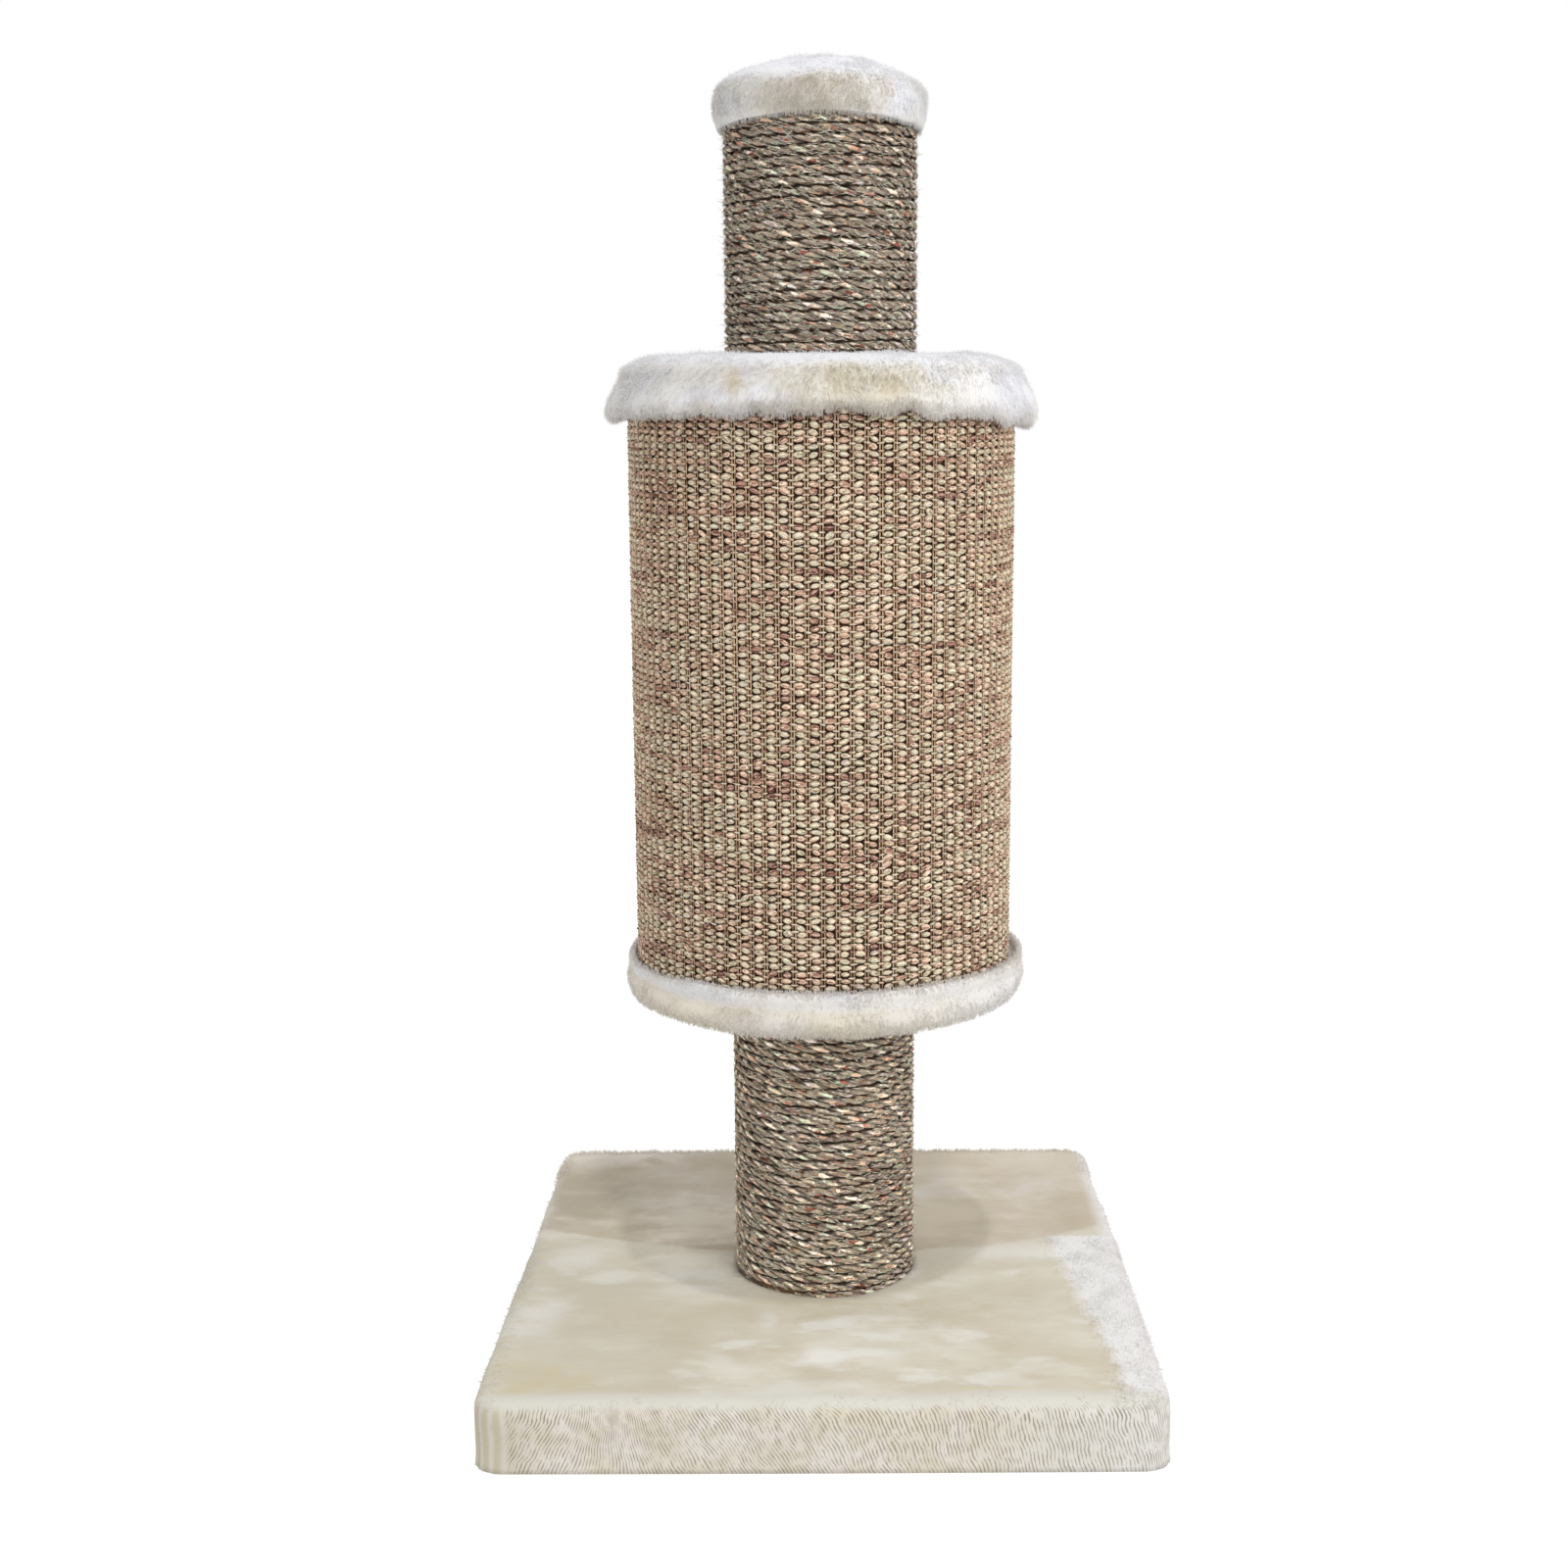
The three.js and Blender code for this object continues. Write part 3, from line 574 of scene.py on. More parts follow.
def lens(name, segments, rings):  # a unit spindle, its two ends at x = -1 and 1
    clearSelection()
    bpy.ops.mesh.primitive_uv_sphere_add(segments=segments, ring_count=rings, radius=1, rotation=(0, math.radians(90), 0))
    made = bpy.context.active_object
    made.name = name
    bakePlace(made)
    bpy.ops.object.mode_set(mode="EDIT")
    bpy.ops.mesh.select_all(action="SELECT")
    bpy.ops.mesh.normals_make_consistent(inside=False)
    bpy.ops.object.mode_set(mode="OBJECT")
    return made


def weaveGrid(offset, seed):  # where each knot or float of the weave sits
    chance = np.random.default_rng(seed)
    columns, rows = matLook["columns"], matLook["rows"] - (1 if offset else 0)
    column, row = np.meshgrid(np.arange(columns), np.arange(rows))
    column, row = column.ravel(), row.ravel()
    pitch = 2 * math.pi / columns
    rise = (matLook["high"] - matLook["low"]) / matLook["rows"]
    turn = math.radians(matLook["seamAt"]) + (column + (0 if offset else 0.5)) * pitch
    height = matLook["low"] + (row + (1.0 if offset else 0.5)) * rise
    bands = np.empty((rows, columns))
    for k in range(rows):  # the yarn's colour drifts along each row
        knots = chance.random(30)
        bands[k] = np.interp(np.arange(columns) / columns * 30, np.arange(30), knots)
    tones = bands[row, column] * 0.72 + chance.random(len(row)) * 0.28
    return turn, height, tones, chance, row, column


def weaveCopies(name, model, half, radius, offset, seed, lean, keep):
    turn, height, tones, chance, row, column = weaveGrid(offset, seed)
    count = len(turn)
    turn = turn + chance.normal(0, 0.0004 / radius, count)
    height = height + chance.normal(0, 0.00028, count)
    outward = np.stack([np.cos(turn), np.sin(turn), np.zeros(count)], 1)
    across = np.stack([-np.sin(turn), np.cos(turn), np.zeros(count)], 1)
    up = np.zeros((count, 3)) + [0, 0, 1]
    tilt = chance.normal(0, lean, count)[:, None]
    lengthwise = across * np.cos(tilt) + up * np.sin(tilt)
    upright = up * np.cos(tilt) - across * np.sin(tilt)
    sizes = chance.uniform(0.80, 1.14, (count, 3)) * half
    proud = np.clip(chance.normal(0, 0.00022, count), -0.0004, 0.0003)
    origins = outward * (radius + proud)[:, None] + up * height[:, None]
    picked = keep(row, column)
    return copyMany(name, model, origins[picked], (lengthwise * sizes[:, :1])[picked],
                    (upright * sizes[:, 1:2])[picked], (outward * sizes[:, 2:])[picked], tones[picked])


def weaveShade(name, lift, slant):
    material, start, shader = newMaterial(name, Roughness=0.88, Specular_IOR_Level=0.12)
    own, tone = attribute(start, "own", "Vector"), attribute(start, "tone")
    bundle = start.node("ShaderNodeTexVoronoi", {"feature": "F1"},
                        {"Vector": stretched(start, own, (0.7, 2.4, 2.4)), "Scale": 1.0, "Randomness": 1.0}, "Color")
    pick = start.node("ShaderNodeSeparateColor", None, {0: bundle}, 0)
    bright = start.node("ShaderNodeSeparateColor", None, {0: bundle}, 1)
    share = tone * 0.6 + pick * 0.4
    colour = ramp(start, share, [
        (0.08, paint(112, 76, 72)), (0.20, paint(150, 108, 98)), (0.27, paint(214, 168, 148)),
        (0.37, paint(246, 226, 206)), (0.48, paint(230, 206, 180)), (0.57, paint(252, 240, 216)),
        (0.66, paint(200, 202, 174)), (0.74, paint(238, 238, 212)), (0.83, paint(222, 200, 196)),
        (0.93, paint(255, 244, 226)),
    ])
    colour = blend(start, colour, ramp(start, bright, [(0.0, (0.50, 0.43, 0.38, 1)), (0.2, (0.80, 0.76, 0.72, 1)),
                                                       (0.45, (1, 1, 1, 1))]), 1.0, "MULTIPLY")
    slanted = start.node("ShaderNodeMapping", {"vector_type": "POINT"},
                         {"Vector": own, "Rotation": (0, 0, slant), "Scale": (1.0, 5.2, 5.2)})
    streak = cloud(start, slanted, 1.0, 2.0)
    colour = blend(start, colour, blend(start, (0.26, 0.20, 0.16, 1), (1, 1, 1, 1), between(start, 0.36, 0.50, streak)),
                   0.85, "MULTIPLY")
    # painted shade: each knot and float is painted darker towards its two ends, where it tucks in under its neighbours
    across = start.node("ShaderNodeSeparateXYZ", None, {0: own}, 0) - tone * 17.0
    ends = between(start, 0.3, 1.0, across * across)
    colour = blend(start, colour, blend(start, colour, (0.42, 0.34, 0.28, 1), 1.0, "MULTIPLY"), ends * 0.8)
    drifts = cloud(start, stretched(start, objectSpot(start), (8, 8, 40)), 1.0, 2.0)
    colour = blend(start, colour, ramp(start, drifts, [(0.35, paint(206, 190, 180)), (0.62, paint(255, 255, 252))]),
                   0.3, "MULTIPLY")
    colour = blend(start, colour, (lift, lift, lift, 1), 1.0, "MULTIPLY")
    dull = between(start, 0.30, 0.12, tone)  # here and there a darker yarn runs along a row
    colour = blend(start, colour, blend(start, colour, (0.60, 0.50, 0.53, 1), 1.0, "MULTIPLY"), dull * 0.7)
    feed(shader, "Base Color", colour)
    addBump(start, shader, streak, 0.0006, 0.9)
    return material


def groundShade():
    material, start, shader = newMaterial("weave ground", Roughness=0.9, Specular_IOR_Level=0.1)
    # painted shade: the ground that shows between the knots is painted very dark brown, partly the backing's own colour
    # and partly the shade down in the gaps
    spots = cloud(start, stretched(start, objectSpot(start), (300, 300, 90)), 1.0)
    feed(shader, "Base Color", ramp(start, spots, [(0.3, paint(38, 26, 20)), (0.55, paint(62, 44, 34)),
                                                   (0.75, paint(92, 70, 54))]))
    addBump(start, shader, spots, 0.001, 0.6)
    return material


def warpShade():
    material, start, shader = newMaterial("warp threads", Roughness=0.85, Specular_IOR_Level=0.15)
    spots = cloud(start, stretched(start, objectSpot(start), (420, 420, 160)), 1.0)
    feed(shader, "Base Color", ramp(start, spots, [(0.3, paint(104, 78, 60)), (0.48, paint(196, 164, 130)),
                                                   (0.68, paint(236, 214, 186))]))
    feed(shader, "Roughness", 0.7 + spots * 0.25)
    return material


def makeMat():
    clearSelection()
    height = matLook["high"] - matLook["low"]
    bpy.ops.mesh.primitive_cylinder_add(vertices=172, radius=matLook["backOut"], depth=height, end_fill_type="NOTHING",
                                        location=(0, 0, matLook["low"] + height / 2))
    ground = bpy.context.active_object
    ground.name = "drum_mat_ground"
    bakePlace(ground)
    bpy.ops.object.mode_set(mode="EDIT")
    bpy.ops.mesh.select_all(action="SELECT")
    bpy.ops.mesh.normals_make_consistent(inside=False)
    bpy.ops.object.mode_set(mode="OBJECT")
    modify(ground, "SOLIDIFY", thickness=matLook["backOut"] - matLook["backIn"], offset=-1.0)
    bpy.ops.object.shade_smooth_by_angle(angle=math.radians(40))
    settle(ground, groundShade(), "sisal_mat", "drum_sisal_mat")

    knotMaterial, floatMaterial = weaveShade("weft knots", 1.22, 0.5), weaveShade("weft floats", 1.3, 0.0)
    knot = lens("knot", 6, 5)
    corners = readCorners(knot.data)  # its two ends run to a point
    corners[:, 1:] *= 1 - 0.3 * corners[:, :1] ** 2
    writeCorners(knot.data, corners)
    half = matLook["rows"] // 2
    for name, keep in (("drum_mat_knots_low", lambda row, column: row < half),
                       ("drum_mat_knots_high", lambda row, column: row >= half)):
        settle(weaveCopies(name, knot, matLook["knotHalf"], matLook["middleRadius"], False, 5, 0.20, keep),
               knotMaterial, "sisal_mat")
    bpy.data.objects.remove(knot)
    flat = lens("float", 4, 4)
    corners = readCorners(flat.data)  # it sags between its two ends
    corners[:, 1] += 0.5 * corners[:, 0] ** 2 - 0.15
    writeCorners(flat.data, corners)
    settle(weaveCopies("drum_mat_floats", flat, matLook["floatHalf"], matLook["floatRadius"], True, 6, 0.10,
                       lambda row, column: column > 0), floatMaterial, "sisal_mat")
    bpy.data.objects.remove(flat)

    clearSelection()  # one warp thread, then a pair of copies between every two columns
    bpy.ops.mesh.primitive_cylinder_add(vertices=6, radius=1, depth=1, location=(0, 0, 0.5))
    thread = bpy.context.active_object
    bakePlace(thread)
    columns = matLook["columns"]
    chance = np.random.default_rng(8)
    turn = math.radians(matLook["seamAt"]) + np.repeat(np.arange(columns), 2) * 2 * math.pi / columns
    turn = turn + np.tile([-0.0011, 0.0011], columns) / matLook["warpRadius"] + chance.normal(0, 0.00012, columns * 2)
    outward = np.stack([np.cos(turn), np.sin(turn), np.zeros(len(turn))], 1)
    across = np.stack([-np.sin(turn), np.cos(turn), np.zeros(len(turn))], 1)
    origins = outward * matLook["warpRadius"] + np.array([0, 0, matLook["low"]])
    upward = np.zeros((len(turn), 3)) + [0, 0, height]
    warp = copyMany("drum_mat_warp", thread, origins, across * matLook["warpHalf"], outward * matLook["warpHalf"],
                    upward, chance.random(len(turn)))
    bpy.data.objects.remove(thread)
    settle(warp, warpShade(), "sisal_mat")
    hairs = straySlivers("drum_mat_fibres", 0.1523, matLook["low"] + 0.01, matLook["high"] - 0.01, matFibres, 31)
    settle(hairs, sliverMaterial, "sisal_mat")


makeMat()
print("the drum wears its mat")


def hairShade(name, colourOf, paintedRootShade):
    material, start, shader = newMaterial(name, Roughness=0.8, Specular_IOR_Level=0.2, Sheen_Weight=0.4,
                                          Sheen_Roughness=0.5)
    own = start.node("ShaderNodeSeparateXYZ", None, {0: attribute(start, "own", "Vector")}, 2)
    tone = attribute(start, "tone")
    tip = between(start, 0.0, 0.75, own - tone * 17.0)
    colour = colourOf(start)
    # painted shade: each hair is painted darker towards its root, down in the pile
    root = blend(start, colour, paintedRootShade, 1.0, "MULTIPLY")
    colour = blend(start, root, colour, tip)
    feed(shader, "Base Color", blend(start, colour, ramp(start, tone, [(0.0, (0.93, 0.925, 0.915, 1)), (0.7, (1, 1, 1, 1))]),
                                     1.0, "MULTIPLY"))
    through = start.node("ShaderNodeBsdfTranslucent", None, {"Color": (0.86, 0.85, 0.84, 1)}, "BSDF")
    mixed = start.node("ShaderNodeMixShader", None, {0: 0.5, 1: Wire(start.tree, shader.outputs[0]), 2: through})
    sheet = material.node_tree.nodes["Material Output"]
    start.tree.links.new(mixed.socket, sheet.inputs["Surface"])  # a hair glows a little when lit from behind
    return material


def skinShade(name, colourOf, shade, grain):
    material, start, shader = newMaterial(name, Roughness=0.85, Specular_IOR_Level=0.2, Sheen_Weight=0.15,
                                          Sheen_Roughness=0.4)
    feed(shader, "Base Color", blend(start, colourOf(start), shade, 1.0, "MULTIPLY"))
    fine = cloud(start, stretched(start, objectSpot(start), grain), 1.0, 4.0)
    addBump(start, shader, fine, 0.0015, 0.5)
    return material


def spotted(start, clean, beige, lilac, size):
    spot = objectSpot(start)
    warm = between(start, 0.52, 0.70, cloud(start, stretched(start, spot, (size, size, size * 1.4)), 1.0, 3.0))
    cool = between(start, 0.48, 0.64, cloud(start, stretched(start, spot, (size * 0.6, size * 0.6, size)), 1.0, 2.0))
    return blend(start, blend(start, clean, lilac, cool), beige, warm * 0.7)


def tinted(start, colour, marks, fineness, fray):  # each mark is a soft patch: its middle, its half-widths, its colour and strength
    spot = objectSpot(start)
    frayed = cloud(start, stretched(start, spot, (fineness, fineness * 1.6, fineness)), 1.0, 4.0) - 0.5
    for middle, half, shade, strength in marks:
        scale = tuple(1 / part for part in half)
        away = start.node("ShaderNodeVectorMath", {"operation": "DISTANCE"}, {
            0: stretched(start, spot, scale), 1: tuple(m * s for m, s in zip(middle, scale))}, "Value")
        colour = blend(start, colour, paint(*shade), between(start, 1.15, 0.05, away + frayed * fray) * strength)
    return colour


plushMarks = [
    ((0.049, -0.166, 0.782), (0.017, 0.03, 0.014), (186, 162, 122), 0.9),
    ((0.016, -0.168, 0.784), (0.018, 0.03, 0.012), (208, 190, 154), 0.7),
    ((-0.063, -0.155, 0.786), (0.011, 0.03, 0.018), (214, 200, 172), 0.75),
    ((0.03, -0.166, 0.786), (0.11, 0.05, 0.026), (204, 197, 176), 0.85),
    ((0.00, -0.163, 0.767), (0.11, 0.05, 0.011), (190, 183, 170), 0.7),
    ((-0.005, -0.080, 0.985), (0.06, 0.03, 0.008), (192, 184, 170), 0.7),
    ((-0.005, -0.083, 0.996), (0.075, 0.04, 0.022), (192, 184, 169), 0.9),
    ((-0.080, -0.025, 0.998), (0.026, 0.060, 0.032), (198, 196, 191), 0.9),
    ((0.082, -0.020, 0.998), (0.026, 0.070, 0.032), (212, 212, 213), 0.8),
    # painted light and shade: the next mark paints the right side lighter and cooler where the key lamp falls, the one
    # after it paints the left side greyer
    ((0.150, -0.070, 0.782), (0.050, 0.090, 0.034), (232, 233, 241), 0.8),
    ((-0.145, -0.070, 0.782), (0.070, 0.090, 0.034), (214, 213, 214), 0.8),
    ((0.14, 0.08, 0.784), (0.05, 0.05, 0.024), (222, 212, 188), 0.6),
    ((-0.05, 0.157, 0.784), (0.06, 0.05, 0.022), (224, 214, 190), 0.6),
]


def whitePlush(start):
    colour = spotted(start, paint(229, 227, 224), paint(225, 221, 211), paint(229, 229, 234), 20.0)
    colour = tinted(start, colour, plushMarks, 90.0, 1.2)
    height = start.node("ShaderNodeSeparateXYZ", None, {0: objectSpot(start)}, 2)
    height = height + cloud(start, stretched(start, objectSpot(start), (60, 60, 60)), 1.0, 2.0) * 0.008
    crown = between(start, 1.008, 1.019, height)  # the tops are painted lighter and bluer: a painted highlight where the overhead light falls
    crown = start.maths("MAXIMUM", crown, between(start, 0.800, 0.809, height) * between(start, 0.9, 0.85, height))
    return blend(start, colour, paint(231, 232, 237), crown)


def lowerPlush(start):
    height = start.node("ShaderNodeSeparateXYZ", None, {0: objectSpot(start)}, 2)
    cream = spotted(start, paint(215, 208, 194), paint(209, 201, 181), paint(217, 212, 205), 20.0)
    across = start.node("ShaderNodeSeparateXYZ", None, {0: objectSpot(start)}, 0)
    cream = blend(start, cream, paint(229, 228, 228), between(start, 0.04, 0.14, across) * 0.8)
    cream = blend(start, cream, paint(226, 219, 205), between(start, -0.04, -0.12, across) * 0.7)
    pale = spotted(start, paint(225, 222, 218), paint(221, 216, 207), paint(224, 223, 225), 22.0)
    return blend(start, cream, pale, between(start, 0.3185, 0.3245, height))


upperCoverLook = {
    "profile": [
        (6.0, 797.5), (6.0, 799.9), (60.0, 799.9), (75.0, 799.9), (78.5, 803.0), (84.0, 806.0), (100.0, 807.2),
        (120.0, 807.2), (134.0, 806.2), (143.5, 803.4), (150.4, 800.2), (155.4, 795.4), (159.6, 788.0),
        (162.4, 779.0), (164.0, 771.5), (163.6, 765.8), (160.8, 762.0), (157.6, 761.0), (155.0, 763.6),
        (153.7, 768.5), (153.5, 778.0), (153.5, 788.0), (153.4, 797.4), (120.0, 797.5)],
    "hair": {"length": 0.0060, "width": 0.00052, "lift": 0.32, "loose": 0.15, "drift": 0.45, "driftSize": 0.03,
             "perLock": 10, "locks": 0.3},
}
lowerCoverLook = {
    "profile": [
        (77.0, 300.7), (77.0, 299.6), (110.0, 299.0), (140.0, 298.8), (151.0, 299.6), (157.8, 302.6), (160.6, 307.6),
        (160.9, 312.6), (159.4, 317.6), (157.6, 320.8), (158.8, 323.6), (159.4, 327.0), (158.2, 330.6),
        (155.8, 331.8), (153.9, 329.6), (153.2, 324.4), (150.0, 323.6), (80.0, 323.6), (6.0, 323.6), (6.0, 321.3),
        (100.0, 321.3), (152.9, 321.2), (153.1, 311.0), (152.8, 300.9), (110.0, 300.8)],
    "hair": {"length": 0.0050, "width": 0.00055, "lift": 0.3, "loose": 0.16, "drift": 0.4, "driftSize": 0.02,
             "perLock": 9, "locks": 0.3},
}
capCoverLook = {
    "profile": [
        (0.6, 1019.5), (30.0, 1018.8), (50.0, 1016.4), (66.0, 1013.2), (73.6, 1008.4), (73.8, 1000.0), (73.9, 991.0),
        (76.2, 990.2), (76.3, 985.6), (76.6, 981.8), (77.4, 980.6), (78.8, 982.0), (80.6, 986.0), (81.8, 992.0),
        (81.4, 999.0), (78.8, 1005.4), (73.6, 1011.0), (65.0, 1016.2), (53.0, 1020.8), (38.0, 1025.4), (20.0, 1029.6),
        (0.6, 1031.0)],
    "hair": {"length": 0.0048, "width": 0.00048, "lift": 0.3, "loose": 0.14, "drift": 0.4, "driftSize": 0.02,
             "perLock": 9, "locks": 0.3},
}


def turnedShell(name, profile, segments, closed):
    clearSelection()  # a ring that is pulled along the profile, one extrusion for each point
    radius, height = (part / 1000 for part in profile[0])
    bpy.ops.mesh.primitive_circle_add(vertices=segments, radius=radius, location=(0, 0, height))
    shell = bpy.context.active_object
    shell.name = name
    bpy.ops.object.mode_set(mode="EDIT")
    bpy.ops.mesh.select_all(action="SELECT")
    for nextRadius, nextHeight in ((r / 1000, z / 1000) for r, z in profile[1:]):
        bpy.ops.mesh.extrude_edges_move(TRANSFORM_OT_translate={"value": (0, 0, nextHeight - height)})
        bpy.ops.transform.resize(value=(nextRadius / radius, nextRadius / radius, 1), center_override=(0, 0, nextHeight))
        radius, height = nextRadius, nextHeight
    bpy.ops.mesh.select_all(action="DESELECT")
    bpy.ops.mesh.select_mode(type="EDGE")
    bpy.ops.mesh.select_non_manifold()
    if closed:
        bpy.ops.mesh.bridge_edge_loops()
    else:
        bpy.ops.mesh.fill_holes(sides=0)
    bpy.ops.mesh.select_all(action="SELECT")
    bpy.ops.mesh.normals_make_consistent(inside=False)
    bpy.ops.object.mode_set(mode="OBJECT")
    bakePlace(shell)
    modify(shell, "SUBSURF", levels=1, render_levels=1)
    makeActive(shell)
    bpy.ops.object.shade_smooth()
    return shell


def rumple(shell, seed, amount, size, where):  # soft lumps in the outer skin, by hand-sized dents
    corners = readCorners(shell.data)
    push = wander(corners, size, seed)
    share = where(corners)[:, None]
    spin = unit(np.column_stack([corners[:, 0], corners[:, 1], np.zeros(len(corners))]))
    writeCorners(shell.data, corners + (spin * push[:, :1] + [0, 0, 1] * push[:, 2:]) * amount * share)


def facingOut(middles, facing):
    return (facing * unit(middles * [1, 1, 0] + [0, 1e-6, 0])).sum(1)


def makeUpperCover():
    shell = turnedShell("upper_platform_plush", upperCoverLook["profile"], 132, True)
    outer = lambda c: smooth(0.1545, 0.160, np.hypot(c[:, 0], c[:, 1])) * smooth(0.81, 0.795, c[:, 2])
    rumple(shell, 3, 0.0032, 0.034, outer)
    corners = readCorners(shell.data)  # the hem hangs unevenly, higher at the front than at the sides
    turn = np.arctan2(corners[:, 1], corners[:, 0])
    ring = np.stack([np.cos(turn), np.sin(turn), np.zeros(len(turn))], 1)
    drop = 0.0050 * (wander(ring, 0.16, 9)[:, 0] + 0.6 * wander(ring, 0.06, 12)[:, 1]) - 0.0035 * np.cos(2 * turn)
    drop = drop + 0.0012 - 0.0042 * smooth(0.7, 1.0, np.cos(turn)) + 0.0020 * smooth(0.5, 1.0, -np.cos(turn))
    low = smooth(0.780, 0.760, corners[:, 2]) * smooth(0.150, 0.1535, np.hypot(corners[:, 0], corners[:, 1]))
    corners[:, 2] += drop * low
    reach, flank = np.hypot(corners[:, 0], corners[:, 1]), smooth(0.5, 0.95, np.abs(np.cos(turn)))
    sag = 0.0034 - 0.0068 * smooth(0.764, 0.796, corners[:, 2])
    corners[:, :2] *= (1 + sag * flank * smooth(0.1542, 0.1575, reach) / reach)[:, None]  # they sag at both sides
    writeCorners(shell.data, corners)
    settle(shell, skinShade("platform skin", whitePlush, (0.99, 0.985, 0.98, 1), (180, 180, 180)), "platform_plush",
           "upper_platform_cover")

    def density(middles, facing):
        radius, out = np.hypot(middles[:, 0], middles[:, 1]), facingOut(middles, facing)
        side = (radius > 0.1535) & (out > 0.02) | (radius > 0.155) & (middles[:, 2] < 0.77)
        top = (facing[:, 2] > 0.1) & (radius > 0.0765) & (middles[:, 2] > 0.79)
        return np.where(side, 820000, np.where(top, 380000 + 280000 * (radius > 0.14), 0)).astype(float)

    def comb(points, normals):
        outward = unit(points * [1, 1, 0])
        down = smooth(0.803, 0.775, points[:, 2])[:, None]
        flat = smooth(0.5, 0.95, normals[:, 2:])
        return outward * 0.4 * (1 - down) + np.array([0, 0, -1]) * (0.1 + 0.55 * down + 0.2 * flat)

    hair = growPile("upper_platform_hair", shell, upperCoverLook["hair"], density, comb, 41)
    settle(hair, platformHair, "platform_plush")


def makeLowerCover():
    shell = turnedShell("lower_platform_plush", lowerCoverLook["profile"], 132, True)
    outer = lambda c: smooth(0.1545, 0.158, np.hypot(c[:, 0], c[:, 1]))
    rumple(shell, 5, 0.0014, 0.04, outer)
    corners = readCorners(shell.data)  # the pale roll stands higher at the front
    turn = np.arctan2(corners[:, 1], corners[:, 0])
    roll = smooth(0.3185, 0.3235, corners[:, 2]) * smooth(0.1535, 0.1560, np.hypot(corners[:, 0], corners[:, 1]))
    corners[:, 2] += roll * (0.0034 * smooth(0.3, 0.9, -np.sin(turn)) - 0.0024 * smooth(0.6, 1.0, -np.cos(turn)))
    corners[:, 0] += 0.0032 * smooth(0.85, 1.0, np.cos(turn)) * smooth(0.308, 0.318, corners[:, 2])
    writeCorners(shell.data, corners)
    settle(shell, skinShade("lower platform skin", lowerPlush, (0.99, 0.985, 0.98, 1), (180, 180, 180)), "platform_plush",
           "lower_platform_cover")

    def density(middles, facing):
        radius, out = np.hypot(middles[:, 0], middles[:, 1]), facingOut(middles, facing)
        side = (radius > 0.1548) & ((out > 0.02) | (middles[:, 2] > 0.328))
        under = (facing[:, 2] < -0.4) & (radius > 0.0778) & (middles[:, 2] < 0.3004)
        return np.where(side, 950000, np.where(under, 240000, 0)).astype(float)

    def comb(points, normals):
        upper = smooth(0.3198, 0.3222, points[:, 2])[:, None]
        under = smooth(0.302, 0.2995, points[:, 2])[:, None]
        outward = unit(points * [1, 1, 0])
        return outward * 0.4 * under + np.array([0, 0, 1]) * (0.85 * upper - 0.5 * (1 - upper) * (1 - under))

    hair = growPile("lower_platform_hair", shell, lowerCoverLook["hair"], density, comb, 43)
    settle(hair, lowerHair, "platform_plush")


def makeCapCover():
    shell = turnedShell("cap_plush", capCoverLook["profile"], 96, False)
    outer = lambda c: smooth(0.0765, 0.0795, np.hypot(c[:, 0], c[:, 1])) + smooth(1.0195, 1.0215, c[:, 2])
    rumple(shell, 7, 0.0018, 0.026, lambda c: np.clip(outer(c), 0, 1))
    corners = readCorners(shell.data)  # the hem sits higher at the front and the back
    turn = np.arctan2(corners[:, 1], corners[:, 0])
    low = smooth(0.996, 0.982, corners[:, 2]) * smooth(0.0745, 0.076, np.hypot(corners[:, 0], corners[:, 1]))
    corners[:, 2] -= (0.0030 * np.cos(2 * turn) + 0.0024) * low
    writeCorners(shell.data, corners)
    settle(shell, skinShade("cap skin", whitePlush, (0.99, 0.985, 0.98, 1), (180, 180, 180)), "platform_plush",
           "cap_plush_cover")

    def density(middles, facing):
        radius, out = np.hypot(middles[:, 0], middles[:, 1]), facingOut(middles, facing)
        crown = (facing[:, 2] > 0.1) & (middles[:, 2] > 0.9925)
        side = (radius > 0.0768) & ((out > 0.02) | (middles[:, 2] < 0.984))
        return np.where(crown | side, 1300000, 0).astype(float)

    def comb(points, normals):
        outward = unit(points * [1, 1, 0] + [0, 1e-6, 0])
        down = smooth(1.012, 0.990, points[:, 2])[:, None]
        under = smooth(0.988, 0.981, points[:, 2])[:, None]
        down = down + 0.4 * smooth(0.5, 0.95, normals[:, 2:])
        return outward * (0.35 * (1 - down) - 0.5 * under) + np.array([0, 0, -1]) * (0.1 + 0.6 * down)

    hair = growPile("cap_hair", shell, capCoverLook["hair"], density, comb, 47)
    settle(hair, platformHair, "platform_plush")


platformHair = hairShade("platform hair", whitePlush, (0.93, 0.92, 0.9, 1))
lowerHair = hairShade("lower platform hair", lowerPlush, (0.93, 0.92, 0.9, 1))
makeUpperCover()
makeLowerCover()
makeCapCover()
print("the round covers have their pile")

baseLook = {
    "half": 0.2542, "low": 0.0006, "top": 0.0565, "corner": 0.022, "rounding": 0.011, "voxel": 0.0045,
    "hem": 0.045, "cloth": 0.0022, "seatRadius": 0.0759, "seatHeight": 0.0502,
    "hair": {"length": 0.0048, "width": 0.00055, "lift": 0.22, "loose": 0.08, "drift": 0.15, "driftSize": 0.03,
             "perLock": 12, "locks": 0.4},
    "patch": {"length": 0.0048, "width": 0.00055, "lift": 0.3, "loose": 0.25, "drift": 0.7, "driftSize": 0.02,
              "perLock": 9, "locks": 0.2},
    "rim": {"length": 0.0046, "width": 0.00055, "lift": 0.9, "loose": 0.25, "drift": 0.5, "driftSize": 0.02,
            "perLock": 9, "locks": 0.35},
}


